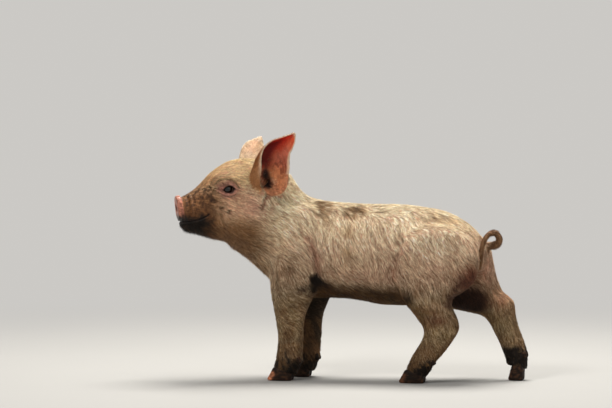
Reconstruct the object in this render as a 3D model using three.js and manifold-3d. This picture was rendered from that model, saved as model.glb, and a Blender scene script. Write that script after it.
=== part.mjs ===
// A life-size standing piglet, about three weeks old, as a still model.
// Millimetres. +Z up, the head towards -X, the animal's left side towards -Y, the floor at z = 0.
// The flesh is one smooth field, negative inside. Rays cast from the spine and from each leg's axis find
// its surface, and the body is then parted by thin cuts into the pieces that a person would name.
import * as THREE from "three";
import { mergeVertices } from "three/addons/utils/BufferGeometryUtils.js";
import Module from "manifold-3d";

const wasm = await Module();
wasm.setup();

// ---------------------------------------------------------------- driving dimensions

const PART_GAP = 0.4; // clear gap left at each cut
const LEFT = -1;
const RIGHT = 1;
const SIDE_NAME = { [LEFT]: "left", [RIGHT]: "right" };

const HEAD_YAW = THREE.MathUtils.degToRad(27); // the head looks to the animal's left
const HEAD_ORIGIN = new THREE.Vector2(-98, -8); // plan position of the poll, the head's own origin

const NOSE = {
  along: 122.5,
  height: 224.5,
  halfWidth: 14.8,
  halfHeight: 16.6,
  halfThick: 3.7,
  round: 2.3,
};
const LIP_HEIGHT = 209; // the disc ends here, above the mouth
const NOSE_TILT = THREE.MathUtils.degToRad(7); // the disc's upper rim leads
const NOSE_TURN = THREE.MathUtils.degToRad(6); // and its left rim leads a little
const NOSTRIL = { out: 5.6, above: 0.5, size: [6, 2.5, 4.6], lean: 0.35 };

const EYE = { along: 63.2, out: 21.4, height: 249.4, radius: 8 };
const LID_THICKNESS = 1.7;
const LID_OPENING = { front: 7.2, back: 6.6, rise: 4.6, drop: 4.2, depth: 20 };

// Cross-sections: [position along the axis, low, mid, high, centre, half breadth]
const TORSO = [
  [-140, 172, 215, 262, -26, 30],
  [-120, 154, 212, 271, -17, 35],
  [-100, 135, 200, 270, -9, 38],
  [-85, 121, 187, 262, -5, 40],
  [-72, 113, 178, 254, -2.5, 41.5],
  [-60, 109, 171, 244.5, -1, 43],
  [-45, 107, 167, 236.6, 0, 44.5],
  [-27, 107.5, 164, 232.4, 0, 46],
  [0, 107, 162, 229.6, 0, 48],
  [27, 103.5, 160, 228.2, 0, 49.5],
  [54, 98.5, 158, 228.6, 0, 50],
  [80, 98.5, 158, 227.6, 0, 48.5],
  [100, 104, 160, 225.6, 0, 46],
  [120, 112, 164, 222.4, 0, 43],
  [138, 122, 168, 217, 0, 39],
  [157, 132, 168, 207, 0, 33],
  [172, 140, 166, 195, 0, 24],
  [182, 148, 165, 182, 0, 15],
  [188, 157, 166, 174, 0, 7],
];
const HEAD = [
  [-30, 172, 218, 264, 0, 34],
  [0, 172, 222, 279.5, 0, 37],
  [20, 175, 226, 285.6, 0, 38.5],
  [38, 178, 228, 287.2, 0, 38],
  [54, 181, 228, 284.6, 0, 35.5],
  [69, 183, 226, 277.5, 0, 30.5],
  [82, 185.5, 223, 268, 0, 25],
  [92, 188.5, 221, 258, 0, 21.5],
  [104, 193, 219, 247.2, 0, 18.5],
  [114, 198, 220, 241, 0, 15.8],
  [121, 204, 222, 238, 0, 13.6],
];
const HEAD_SWELLS = [
  { at: [60, 19.5, 261], size: [19, 10, 9], blend: 14 }, // brow
  { at: [34, 25, 207], size: [30, 16, 24], blend: 14 }, // jowl
  { at: [13, 27, 246], size: [21, 13, 16], blend: 14 }, // root of the ear
  { at: [99, 10.5, 217], size: [22, 7.5, 10], blend: 8 }, // upper lip
  { at: [106, 0, 201], size: [13, 10, 7.5], blend: 7 }, // chin
];
// The mouth line in side view of the head: [along, height], from under the nose back to the corner
const MOUTH_LINE = [
  [140, 204],
  [121, 207],
  [112, 208.5],
  [102, 209.5],
  [93, 212.5],
  [87, 215.5],
];
const MOUTH_GAP = 0.9;

// Columns of the legs: [height, front, middle, back, centre, half breadth]
const FORE_LEFT = [
  [135, -90, -62, -34, -33, 17],
  [118, -90.5, -62, -34.5, -33, 17],
  [109, -90, -63, -37.5, -32.5, 16.5],
  [96, -88, -65, -43, -32, 15.8],
  [83, -86, -66, -47.6, -31, 14.8],
  [70, -84.2, -66.5, -49.4, -30, 13.8],
  [57, -82.6, -66, -49.8, -29.5, 13.4],
  [47, -83, -67, -50.6, -29, 12.2],
  [37, -84, -67.5, -51.2, -28.5, 12.2],
  [28, -85.2, -68, -52, -28.5, 13.6],
  [18, -87, -71, -55, -28.5, 13.8],
  [8, -89, -75, -59, -28.5, 13.2],
  [0, -90, -76, -62, -28.5, 12],
];
const HIND_LEFT = [
  [128, 84, 116, 142, -36, 20],
  [114, 85, 115, 143, -37, 20],
  [103, 87, 116, 144.5, -36.5, 19],
  [94.5, 93.5, 121, 148, -35.5, 17],
  [82, 101.5, 128, 153, -34, 14.6],
  [73, 107.6, 133, 154.6, -33, 13.2],
  [64, 109.4, 132, 151.8, -32.5, 12.6],
  [58, 107.8, 128, 148, -32, 12],
  [52, 105, 125, 144.2, -32, 11.6],
  [39, 97, 116, 134.2, -31.5, 11.6],
  [28, 91, 107, 124.5, -31.5, 13],
  [19, 87, 102, 118.5, -31.5, 13.6],
  [8, 83.5, 98, 113, -31.5, 13],
  [0, 82, 96, 110, -31.5, 12],
];
const FORE_STEP = 13; // how far the right forefoot stands behind the left one
// The right hind leg is stretched back: its gaskin runs down and back to this column
const HIND_RIGHT = [
  [100, 180, 198, 215, 31, 14],
  [90, 181, 200, 218.3, 31, 14.5],
  [80, 184, 202, 221, 31, 13.8],
  [68, 189.5, 206, 224.3, 31, 12.6],
  [50, 198.8, 214.5, 231.3, 31, 11.6],
  [40, 203, 219, 234.5, 31, 11.8],
  [31, 206.3, 221, 235.4, 31, 12.8],
  [20, 209.5, 222, 235, 31, 13.2],
  [8, 212.5, 223, 233.5, 31, 12.6],
  [0, 214, 223, 232, 31, 11],
];

// The feet: middle of the two claws on the floor, reach of toe and heel, heights of the coronet at
// the toe and at the heel, and [x, z] of the dewclaws
const FEET = {
  fore_left: { at: [-79, -28.5], toe: 17, heel: 15, coronet: [16.5, 9.5], dew: [-54.5, 26] },
  fore_right: { at: [-66, 28.5], toe: 17, heel: 15, coronet: [16.5, 9.5], dew: [-41.5, 26] },
  hind_left: { at: [95, -31.5], toe: 17.5, heel: 15, coronet: [16.5, 9.5], dew: [120.5, 26.5] },
  hind_right: { at: [222, 31], toe: 10.5, heel: 9, coronet: [20, 16], dew: [232.6, 33] },
};
const CLAW_SPACING = 13.4; // between the middles of the two claws
const CLAW_HALF_BREADTH = 6.2;
// Claw rings from the sole to the coronet, as shares: [height, reach of toe, reach of heel, breadth]
const CLAW_RINGS = [
  [0, 0.93, 0.94, 0.88],
  [0.08, 1, 1, 0.97],
  [0.5, 0.8, 1.04, 1.02],
  [1, 0.56, 1.06, 1.04],
];
const DEWCLAW = { length: 8.5, base: 3.5, tip: 2.3, apart: 14 };
const DEWCLAW_LEAN = THREE.MathUtils.degToRad(25); // backwards from straight down

// The ear: rows up its axis from inside the head to the tip, in the ear's own frame.
// [rearward, outward, up, reach to the front, reach to the rear, depth of the cup, curl of the front]
const EAR = [
  [-1, -9, -14, 13, 12, 7, 1],
  [-0.5, -3, -7, 17, 17.5, 10, 1],
  [1, 1.5, 2, 21, 19.5, 11.5, 1],
  [4, 4, 12, 23.5, 22.5, 11.5, 0.95],
  [6.5, 6, 23, 23.5, 22.5, 10.5, 0.8],
  [9, 9, 35, 21.5, 20, 9, 0.5],
  [13, 13, 44.4, 16.5, 18.6, 7.5, 0.2],
  [18.3, 17, 51, 10.8, 16, 6, 0],
  [24.6, 21, 56.4, 6.6, 13.4, 4.5, 0],
  [31, 24.5, 61.4, 3.6, 8, 2.4, 0],
  [36, 27, 65.6, 1.2, 1.4, 0.8, 0],
];
const EAR_ROOT = { out: 36, height: 256, along: { left: 14, right: 10 } };
const EAR_TURN = THREE.MathUtils.degToRad(17); // how far the ear's mouth looks forward of straight out
const EAR_SPLAY = { left: 0, right: THREE.MathUtils.degToRad(14) }; // how far each ear falls outward
const EAR_ROWS = 10;
const EAR_COLUMNS = 6;
const EAR_HOLLOW = { ahead: 2, out: 37, height: 262, size: [9, 12, 15] };
const EAR_HALF_THICK = 1.25;
const EAR_RIM_SHARE = 0.55; // thickness of the rim as a share of the middle's
// The ear's section as [across, outward] for a curled and for an open ear; across is + towards the front
const EAR_CURLED = [[0.5, 1], [0.9, 0.62], [1, -0.1], [0.6, -0.85], [0, -1], [-0.58, -0.55], [-1, 0.45]];
const EAR_OPEN = [[1, 0.55], [0.86, 0.1], [0.68, -0.35], [0.38, -0.8], [0, -1], [-0.55, -0.75], [-1, 0]];

// The tail's curl from inside the rump to the tip: [x, y, z, radius]
const TAIL = [
  [178, 0, 171, 5.6],
  [188.4, 0, 176, 5.4],
  [196.4, -1, 177, 4.9],
  [202, -2.5, 181, 4.4],
  [202.8, -4, 187, 4],
  [197.6, -7.5, 193.8, 3.8],
  [189.8, -12, 191.2, 3.7],
  [184.6, -17, 182.4, 3.5],
  [182.2, -20.5, 171.8, 3.1],
  [181.4, -22.5, 160.2, 2.7],
  [180.2, -23.5, 148.4, 1.9],
];

// Where the body is parted, in side view
const HEAD_CUT = { from: [32, 178], to: [2, 270] }; // [along the head, height]
const NECK_CUT = { from: [-66, 258], to: [-104, 132] }; // [x, z], with the neck to its right hand
const FORELEG_CUT = 97;
const HIND_LEFT_CUT = { from: [101, 80], to: [156, 92] };
const HIND_RIGHT_CUT = { from: [183, 76], to: [205, 126] };
const SHOULDER_OUTLINE = [
  [-46, 214],
  [-66, 200],
  [-84, 168],
  [-99, 136],
  [-104, 90],
  [-60, 70],
  [-22, 86],
  [-27, 120],
  [-26, 152],
  [-29, 184],
];
const HAM_OUTLINE = [
  [100, 199],
  [79, 178],
  [70, 146],
  [74, 108],
  [96, 60],
  [160, 50],
  [216, 66],
  [226, 110],
  [206, 150],
  [190, 176],
  [160, 198],
  [128, 207],
];
const INNER_FACE = 8; // distance of the shoulders' and hams' inner faces from the middle plane

// ---------------------------------------------------------------- small mathematics

const clamp01 = (t) => Math.min(1, Math.max(0, t));
const mix = (a, b, t) => a + (b - a) * t;
const evenly = (count, from = 0, to = 1) =>
  Array.from({ length: count }, (_, i) => mix(from, to, i / (count - 1)));

// Smooth curve through the points (xs, ys), with no overshoot between them, held level beyond its ends.
function curveThrough(xs, ys) {
  const step = xs.slice(1).map((x, i) => x - xs[i]);
  const rise = step.map((h, i) => (ys[i + 1] - ys[i]) / h);
  const slope = xs.map((_, i) => {
    if (i === 0) return rise[0];
    if (i === rise.length) return rise[i - 1];
    return rise[i - 1] * rise[i] <= 0 ? 0 : (2 * rise[i - 1] * rise[i]) / (rise[i - 1] + rise[i]);
  });
  return (x) => {
    if (x <= xs[0]) return ys[0];
    if (x >= xs[xs.length - 1]) return ys[ys.length - 1];
    let i = 0;
    while (x > xs[i + 1]) i++;
    const h = step[i];
    const t = (x - xs[i]) / h;
    return (
      ys[i] * (1 + 2 * t) * (1 - t) ** 2 +
      slope[i] * h * t * (1 - t) ** 2 +
      ys[i + 1] * t * t * (3 - 2 * t) +
      slope[i + 1] * h * t * t * (t - 1)
    );
  };
}

// Union of two distances with a fillet about k wide.
function fillet(a, b, k) {
  const h = Math.max(k - Math.abs(a - b), 0) / k;
  return Math.min(a, b) - (h * h * k) / 4;
}

// Distance from an ellipse, good near its rim.
function ellipseDistance(u, v, ru, rv) {
  const k0 = Math.hypot(u / ru, v / rv);
  const k1 = Math.hypot(u / (ru * ru), v / (rv * rv));
  return k1 < 1e-9 ? -Math.min(ru, rv) : (k0 * (k0 - 1)) / k1;
}

// A body with the sections of a table, read along `s`, across `a` and up `b`.
function sectionBody(table) {
  const rows = [...table].sort((p, q) => p[0] - q[0]);
  const xs = rows.map((row) => row[0]);
  const column = (c) => curveThrough(xs, rows.map((row) => row[c]));
  const [low, mid, high, centre, half] = [1, 2, 3, 4, 5].map(column);
  const [first, last] = [xs[0], xs[xs.length - 1]];
  return (s, a, b) => {
    const above = b - mid(s);
    const reach = above > 0 ? high(s) - mid(s) : mid(s) - low(s);
    const rim = ellipseDistance(a - centre(s), above, half(s), reach);
    const end = Math.max(first - s, s - last);
    return end <= 0 ? Math.max(rim, end) : Math.hypot(Math.max(rim, 0), end);
  };
}

function ellipsoid([cx, cy, cz], [rx, ry, rz]) {
  return (x, y, z) => {
    const [u, v, w] = [x - cx, y - cy, z - cz];
    const k0 = Math.hypot(u / rx, v / ry, w / rz);
    const k1 = Math.hypot(u / rx ** 2, v / ry ** 2, w / rz ** 2);
    return k1 < 1e-9 ? -Math.min(rx, ry, rz) : (k0 * (k0 - 1)) / k1;
  };
}

// A thick ellipse lying across an axis, with its edge rounded: `u`, `v` in its plane and `w` through it.
function pad(u, v, w, ru, rv, halfThick, round) {
  const rim = ellipseDistance(u, v, ru - round, rv - round);
  const deep = Math.abs(w) - (halfThick - round);
  return Math.hypot(Math.max(rim, 0), Math.max(deep, 0)) + Math.min(Math.max(rim, deep), 0) - round;
}

// A limb from a to b, tapering from radius ra to rb.
function taper(a, ra, b, rb) {
  const axis = [b[0] - a[0], b[1] - a[1], b[2] - a[2]];
  const length2 = axis[0] ** 2 + axis[1] ** 2 + axis[2] ** 2;
  return (x, y, z) => {
    const [u, v, w] = [x - a[0], y - a[1], z - a[2]];
    const t = clamp01((u * axis[0] + v * axis[1] + w * axis[2]) / length2);
    return Math.hypot(u - t * axis[0], v - t * axis[1], w - t * axis[2]) - mix(ra, rb, t);
  };
}

const blended = (k, ...fields) => (x, y, z) =>
  fields.reduce((d, field) => fillet(d, field(x, y, z), k), Infinity);

// ---------------------------------------------------------------- the head's own frame

const HEAD_AXIS = [-Math.cos(HEAD_YAW), -Math.sin(HEAD_YAW)];

// Along the head from the poll, and out to its left.
function toHead(x, y) {
  const [u, v] = [x - HEAD_ORIGIN.x, y - HEAD_ORIGIN.y];
  return [u * HEAD_AXIS[0] + v * HEAD_AXIS[1], -u * HEAD_AXIS[1] + v * HEAD_AXIS[0]];
}
function fromHead(along, out, height) {
  return new THREE.Vector3(
    HEAD_ORIGIN.x + along * HEAD_AXIS[0] - out * HEAD_AXIS[1],
    HEAD_ORIGIN.y + along * HEAD_AXIS[1] + out * HEAD_AXIS[0],
    height,
  );
}
const headDirection = (along, out, up) => fromHead(along, out, up).sub(fromHead(0, 0, 0)).normalize();

// ---------------------------------------------------------------- flesh

const skull = sectionBody(HEAD);
const headSwells = HEAD_SWELLS.map(({ at, size, blend }) => ({ field: ellipsoid(at, size), blend }));

function noseDisc(along, out, z) {
  const [du, dw, dz] = [along - NOSE.along, out, z - NOSE.height];
  const turned = du * Math.cos(NOSE_TURN) - dw * Math.sin(NOSE_TURN);
  const across = du * Math.sin(NOSE_TURN) + dw * Math.cos(NOSE_TURN);
  const deep = turned * Math.cos(NOSE_TILT) - dz * Math.sin(NOSE_TILT);
  const up = turned * Math.sin(NOSE_TILT) + dz * Math.cos(NOSE_TILT);
  return pad(across, up, deep, NOSE.halfWidth, NOSE.halfHeight, NOSE.halfThick, NOSE.round);
}

function headFlesh(along, out, z) {
  let d = skull(along, out, z);
  for (const { field, blend } of headSwells) d = fillet(d, field(along, Math.abs(out), z), blend);
  return fillet(d, noseDisc(along, out, z), 3);
}

const torso = sectionBody(TORSO);
const shoulder = (side) =>
  blended(
    16,
    ellipsoid([-50, side * 30, 180], [30, 18, 46]),
    taper([-74, side * 31, 150], 17, [-62, side * 33, 120], 17),
    ellipsoid([-54, side * 33.5, 146], [22, 17, 27]),
  );
const shoulderLeft = shoulder(LEFT);
const shoulderRight = shoulder(RIGHT);
const thigh = (centre, side) => (x, y, z) => pad(x - centre, z - 157, y - side * 29, 54, 47, 23.5, 17);
const hamLeft = blended(14, thigh(126, LEFT), taper([128, -33, 138], 26, [112, -37, 112], 19));
const hamRight = blended(
  14,
  thigh(128, RIGHT),
  taper([162, 24, 158], 28, [181, 31, 122], 16.5),
  taper([142, 34, 116], 25, [198, 31, 97], 17),
);

const column = (table) => {
  const body = sectionBody(table);
  return (x, y, z) => body(z, y, x);
};
const steppedBack = FORE_LEFT.map(([height, front, middle, back, centre, half]) => [
  height,
  front + FORE_STEP,
  middle + FORE_STEP,
  back + FORE_STEP,
  -centre,
  half,
]);
const legs = {
  fore_left: column(FORE_LEFT),
  fore_right: column(steppedBack),
  hind_left: column(HIND_LEFT),
  hind_right: column(HIND_RIGHT),
};

function barrel(x, y, z) {
  let d = fillet(torso(x, y, z), headFlesh(...toHead(x, y), z), 22);
  for (const part of [shoulderLeft, shoulderRight, hamLeft, hamRight]) d = fillet(d, part(x, y, z), 9);
  return d;
}
function flesh(x, y, z) {
  let d = barrel(x, y, z);
  for (const leg of Object.values(legs)) d = fillet(d, leg(x, y, z), 12);
  return d;
}

// For the body's own mesh each leg is a stub, held a little inside the leg's skin
const STUB_INSET = 0.6;
const STUB_END = 94;
function fleshWithStubs(x, y, z) {
  let d = barrel(x, y, z);
  for (const [name, leg] of Object.entries(legs)) {
    const end = name === "hind_right" ? 0.9 * (x - 196) - 0.44 * (z - 100) : STUB_END - z;
    d = fillet(d, Math.max(leg(x, y, z) + STUB_INSET, end), 12);
  }
  return d;
}

// ---------------------------------------------------------------- casting the field into meshes

const MARCH = 1.5;

// How far the field's surface lies from `from` along `ray`, at most `reach`.
function castRay(field, from, ray, reach) {
  const at = (t) => field(from.x + ray.x * t, from.y + ray.y * t, from.z + ray.z * t);
  let t = 0;
  while (t < reach && at(t) < 0) t += MARCH;
  if (t >= reach) return reach;
  let [inside, outside] = [Math.max(0, t - MARCH), t];
  for (let i = 0; i < 12; i++) {
    const half = (inside + outside) / 2;
    if (at(half) < 0) inside = half;
    else outside = half;
  }
  return (inside + outside) / 2;
}

function meshOf(points, faces) {
  const geometry = new THREE.BufferGeometry();
  const positions = points.flatMap((p) => [p.x, p.y, p.z]);
  geometry.setAttribute("position", new THREE.Float32BufferAttribute(positions, 3));
  geometry.setIndex(faces.flat());
  return geometry;
}

// The faces between rings of `count` points, numbered ring by ring.
function facesBetween(ringCount, count) {
  const faces = [];
  const id = (ring, k) => ring * count + (k % count);
  for (let r = 0; r + 1 < ringCount; r++) {
    for (let k = 0; k < count; k++) {
      faces.push([id(r, k), id(r + 1, k + 1), id(r, k + 1)]);
      faces.push([id(r, k), id(r + 1, k), id(r + 1, k + 1)]);
    }
  }
  return faces;
}

// A closed mesh over rings of points, with a fan from a point at each end.
function loft(rings, startPoint, endPoint) {
  const count = rings[0].length;
  const [start, end] = [rings.length * count, rings.length * count + 1];
  const faces = facesBetween(rings.length, count);
  for (let k = 0; k < count; k++) {
    const next = (k + 1) % count;
    faces.push([start, k, next]);
    faces.push([end, start - count + next, start - count + k]);
  }
  return meshOf([...rings.flat(), startPoint, endPoint], faces);
}

const UP = new THREE.Vector3(0, 0, 1);
const NOSE_LEANS = [10, 16, 45].map(THREE.MathUtils.degToRad);
const RUMP_LEANS = [18, 36, 54, 72].map(THREE.MathUtils.degToRad);

// Rings cast on a field from a curve. `planeAt` gives each ring's plane by its normal; `insets` draw the
// first rings in under the surface; either end may be closed by rays that lean over towards the curve's
// own direction by `leans`.
function castAlong({ field, curve, stations, sides, reach, planeAt, insets = [], leans = [[], []] }) {
  const frameAt = (u) => {
    const normal = planeAt(curve.getTangentAt(u)).normalize();
    const aside = Math.abs(normal.z) > 0.75 ? new THREE.Vector3(1, 0, 0) : UP;
    const side = new THREE.Vector3().crossVectors(normal, aside).normalize();
    const rise = new THREE.Vector3().crossVectors(side, normal);
    return { centre: curve.getPointAt(u), normal, side, rise };
  };
  const ring = (u, lean, inset = 0) => {
    const { centre, normal, side, rise } = frameAt(u);
    return evenly(sides + 1, 0, 2 * Math.PI)
      .slice(0, sides)
      .map((angle) => {
        const ray = new THREE.Vector3()
          .addScaledVector(side, Math.cos(angle) * Math.cos(lean))
          .addScaledVector(rise, Math.sin(angle) * Math.cos(lean))
          .addScaledVector(normal, Math.sin(lean));
        const length = Math.max(castRay(field, centre, ray, reach) - inset, 4);
        return centre.clone().addScaledVector(ray, length);
      });
  };
  const pole = (u, sign, isRounded) => {
    const { centre, normal } = frameAt(u);
    if (!isRounded) return centre;
    const ray = normal.clone().multiplyScalar(sign);
    return centre.clone().addScaledVector(ray, castRay(field, centre, ray, reach));
  };
  const [first, last] = [stations[0], stations[stations.length - 1]];
  const rings = [
    ...[...leans[0]].reverse().map((lean) => ring(first, -lean)),
    ...stations.map((u, i) => ring(u, 0, insets[i])),
    ...leans[1].map((lean) => ring(last, lean)),
  ];
  return loft(rings, pole(first, -1, leans[0].length > 0), pole(last, 1, leans[1].length > 0));
}

const through = (...points) =>
  new THREE.CatmullRomCurve3(
    points.map((p) => (p.isVector3 ? p : new THREE.Vector3(...p))),
    false,
    "centripetal",
  );
const upright = (tangent) => new THREE.Vector3(tangent.x, tangent.y, 0);
const level = () => new THREE.Vector3(0, 0, -1);
const square = (tangent) => tangent.clone();

// ---------------------------------------------------------------- solids and cuts

function solid(geometry) {
  const bare = geometry.clone();
  bare.deleteAttribute("normal");
  bare.deleteAttribute("uv");
  const whole = mergeVertices(bare, 1e-4);
  return new wasm.Manifold(
    new wasm.Mesh({
      numProp: 3,
      vertProperties: new Float32Array(whole.attributes.position.array),
      triVerts: new Uint32Array(whole.index.array),
    }),
  );
}

// All of space on the side of a plane that its normal points to.
function halfSpace(point, normal) {
  const box = new THREE.BoxGeometry(1200, 1200, 1200).translate(0, 0, 600);
  box.applyQuaternion(new THREE.Quaternion().setFromUnitVectors(UP, normal.clone().normalize()));
  return solid(box.translate(point.x, point.y, point.z));
}

// Parts a body by a region: [what lies in it, what lies outside it], with the gap taken from the outside.
// `region(grow)` is the region grown by `grow`.
const partBy = (body, region) => [body.intersect(region(0)), body.subtract(region(PART_GAP))];

// The region to the right of a line drawn in side view from `from` to `to`.
function beside({ from, to }, place = ([x, z]) => new THREE.Vector3(x, 0, z)) {
  const forward = place([1, 0]).sub(place([0, 0]));
  const normal = forward.multiplyScalar(to[1] - from[1]).addScaledVector(UP, from[0] - to[0]).normalize();
  return (grow) => halfSpace(place(from).addScaledVector(normal, -grow), normal);
}

// A side-view outline through points [x, z], as a block outwards from the body's inner face.
function block(outline, side) {
  const closed = new THREE.CatmullRomCurve3(outline.map(([x, z]) => new THREE.Vector3(x, z, 0)), true);
  return (grow) => {
    const points = closed.getSpacedPoints(28).slice(0, 28);
    const centre = points.reduce((sum, p) => sum.add(p), new THREE.Vector3()).divideScalar(points.length);
    for (const p of points) p.add(p.clone().sub(centre).setLength(grow));
    const geometry = new THREE.ExtrudeGeometry(new THREE.Shape(points), { depth: 80, bevelEnabled: false });
    geometry.rotateX(Math.PI / 2); // drawn in x and z, and now reaching from y = 0 to y = -80
    const inner = INNER_FACE - grow;
    return solid(geometry.translate(0, side === LEFT ? -inner : inner + 80, 0));
  };
}

// ---------------------------------------------------------------- head, neck, trunk and legs

const headSpine = through(
  fromHead(NOSE.along, 0, 222.5),
  fromHead(108, 0, 218),
  fromHead(82, 0, 223),
  fromHead(50, 0, 230),
  fromHead(18, 0, 224),
  [-90, -6, 200],
  [-64, -1, 184],
  [-38, 0, 174],
);
const trunkSpine = through(
  [-112, -9, 196],
  [-84, -3, 187],
  [-58, 0, 178],
  [-20, 0, 168],
  [60, 0, 162],
  [165, 0, 163],
);

const headAndNeck = solid(
  castAlong({
    field: fleshWithStubs,
    curve: headSpine,
    stations: [0, 0.012, 0.022, ...evenly(13, 0.04, 0.46), ...evenly(7, 0.52, 1)],
    sides: 26,
    reach: 120,
    planeAt: upright,
    leans: [NOSE_LEANS, []],
  }),
);
const trunkAlone = solid(
  castAlong({
    field: fleshWithStubs,
    curve: trunkSpine,
    stations: evenly(25),
    sides: 22,
    reach: 120,
    planeAt: upright,
    leans: [[], RUMP_LEANS],
  }),
);

const LEG_AXES = {
  fore_left: [
    [-63, -30, 150],
    [-64, -31, 130],
    [-64, -32, 112],
    [-65, -31, 90],
    [-66, -29.5, 57],
    [-68, -28.5, 30],
    [-75, -28.5, 4],
  ],
  fore_right: [
    [-50, 30, 150],
    [-51, 31, 130],
    [-51, 32, 112],
    [-52, 31, 90],
    [-53, 29.5, 57],
    [-55, 28.5, 30],
    [-62, 28.5, 4],
  ],
  hind_left: [
    [122, -33, 152],
    [117, -35, 130],
    [117, -36, 110],
    [124, -35, 92],
    [132, -33, 72],
    [122, -32, 46],
    [105, -31.5, 24],
    [97, -31.5, 4],
  ],
  hind_right: [
    [152, 27, 158],
    [168, 29, 138],
    [184, 31, 116],
    [196, 31, 96],
    [206, 31, 74],
    [214.5, 31, 50],
    [221, 31, 26],
    [223, 31, 4],
  ],
};
const legLofts = Object.entries(LEG_AXES).map(([name, axis]) =>
  solid(
    castAlong({
      field: flesh,
      curve: through(...axis),
      stations: evenly(16),
      sides: 10,
      reach: 38,
      planeAt: name === "hind_right" ? square : level,
      insets: [12, 7, 3, 0.8],
    }),
  ),
);
const trunkAndLegs = legLofts.reduce((body, leg) => body.add(leg), trunkAlone);

// ---------------------------------------------------------------- ears, tail, eyes, nostrils, mouth

// The ear's shell, grown on all sides by `grow`.
function earShell(side, grow) {
  const name = SIDE_NAME[side];
  const [turn, splay] = [EAR_TURN, EAR_SPLAY[name]];
  const place = (p) => {
    const out = p.y * Math.cos(splay) + p.z * Math.sin(splay);
    const up = p.z * Math.cos(splay) - p.y * Math.sin(splay);
    return fromHead(
      EAR_ROOT.along[name] - p.x * Math.cos(turn) + out * Math.sin(turn),
      -side * (EAR_ROOT.out + p.x * Math.sin(turn) + out * Math.cos(turn)),
      EAR_ROOT.height + up,
    );
  };
  const rows = evenly(EAR_ROWS, 0, EAR.length - 1);
  const column = (c) => curveThrough(EAR.map((_, i) => i), EAR.map((row) => row[c]));
  const [rearward, outward, upward] = [0, 1, 2].map(column);
  const [frontReach, rearReach, depth, curl] = [3, 4, 5, 6].map(column);
  const axis = through(...rows.map((i) => [rearward(i), outward(i), upward(i)]));
  const sheet = rows.map((i, r) => {
    const centre = axis.getPoint(r / (rows.length - 1));
    const tangent = axis.getTangent(r / (rows.length - 1));
    if (r === 0) centre.addScaledVector(tangent, -grow);
    if (r === rows.length - 1) centre.addScaledVector(tangent, grow);
    const across = new THREE.Vector3(-tangent.z, 0, tangent.x).normalize();
    const outwards = new THREE.Vector3().crossVectors(across, tangent);
    const knots = EAR_OPEN.map(([a, n], k) => {
      const [u, v] = [mix(a, EAR_CURLED[k][0], curl(i)), mix(n, EAR_CURLED[k][1], curl(i))];
      return new THREE.Vector2(u * (u > 0 ? frontReach(i) : rearReach(i)), v * depth(i));
    });
    const section = new THREE.SplineCurve(knots).getSpacedPoints(EAR_COLUMNS);
    const [front, rear] = [section[0], section[EAR_COLUMNS]];
    const [next, before] = [section[1], section[EAR_COLUMNS - 1]];
    front.add(front.clone().sub(next).setLength(grow));
    rear.add(rear.clone().sub(before).setLength(grow));
    return section.map((s) => centre.clone().addScaledVector(across, s.x).addScaledVector(outwards, s.y));
  });
  const last = rows.length - 1;
  const rings = sheet.map((row, r) => {
    const walls = row.map((p, k) => {
      const alongRow = row[Math.min(k + 1, EAR_COLUMNS)].clone().sub(row[Math.max(k - 1, 0)]);
      const upRows = sheet[Math.min(r + 1, last)][k].clone().sub(sheet[Math.max(r - 1, 0)][k]);
      const rim = k === 0 || k === EAR_COLUMNS ? EAR_RIM_SHARE : 1;
      const thick = EAR_HALF_THICK * rim * (r === last ? EAR_RIM_SHARE : 1) + grow;
      return { p, push: alongRow.cross(upRows).setLength(thick) };
    });
    const one = walls.map(({ p, push }) => place(p.clone().add(push)));
    const other = walls.map(({ p, push }) => place(p.clone().sub(push)));
    return [...one, ...other.reverse()];
  });
  const count = rings[0].length;
  const faces = facesBetween(rings.length, count);
  const top = last * count;
  for (let k = 0; k < EAR_COLUMNS; k++) {
    const [a, b, c, d] = [k, k + 1, count - 2 - k, count - 1 - k];
    faces.push([a, b, c], [a, c, d]);
    faces.push([top + a, top + c, top + b], [top + a, top + d, top + c]);
  }
  if (side === RIGHT) for (const face of faces) face.reverse();
  return solid(meshOf(rings.flat(), faces));
}

// The hollow at an ear's foot, sunk into the head inside the ear's curl
function earHollow(side) {
  const { ahead, out, height } = EAR_HOLLOW;
  const at = fromHead(EAR_ROOT.along[SIDE_NAME[side]] + ahead, -side * out, height);
  const hollow = new THREE.SphereGeometry(1, 10, 7).scale(...EAR_HOLLOW.size).rotateZ(HEAD_YAW);
  return solid(hollow.translate(at.x, at.y, at.z));
}

// The curled tail, grown on all sides by `grow`.
function tailTube(grow) {
  const curve = through(...TAIL.map(([x, y, z]) => [x, y, z]));
  const count = 23;
  const radius = curveThrough(TAIL.map((_, i) => i / (TAIL.length - 1)), TAIL.map((row) => row[3]));
  const spots = evenly(count);
  const points = spots.map((t) => curve.getPoint(t));
  const tangents = spots.map((t) => curve.getTangent(t));
  const normals = [new THREE.Vector3(0, 1, 0)];
  for (let i = 1; i < count; i++) {
    const turn = new THREE.Quaternion().setFromUnitVectors(tangents[i - 1], tangents[i]);
    normals.push(normals[i - 1].clone().applyQuaternion(turn));
  }
  const rings = points.map((p, i) => {
    const n = normals[i].clone().addScaledVector(tangents[i], -normals[i].dot(tangents[i])).normalize();
    const b = new THREE.Vector3().crossVectors(n, tangents[i]);
    return evenly(7, 0, 2 * Math.PI)
      .slice(0, 6)
      .map((angle) =>
        p
          .clone()
          .addScaledVector(n, Math.cos(angle) * (radius(spots[i]) + grow))
          .addScaledVector(b, Math.sin(angle) * (radius(spots[i]) + grow)),
      );
  });
  const start = points[0].clone().addScaledVector(tangents[0], -grow);
  const tip = TAIL[TAIL.length - 1][3] + grow;
  const end = points[count - 1].clone().addScaledVector(tangents[count - 1], tip);
  return solid(loft(rings, start, end));
}

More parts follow.
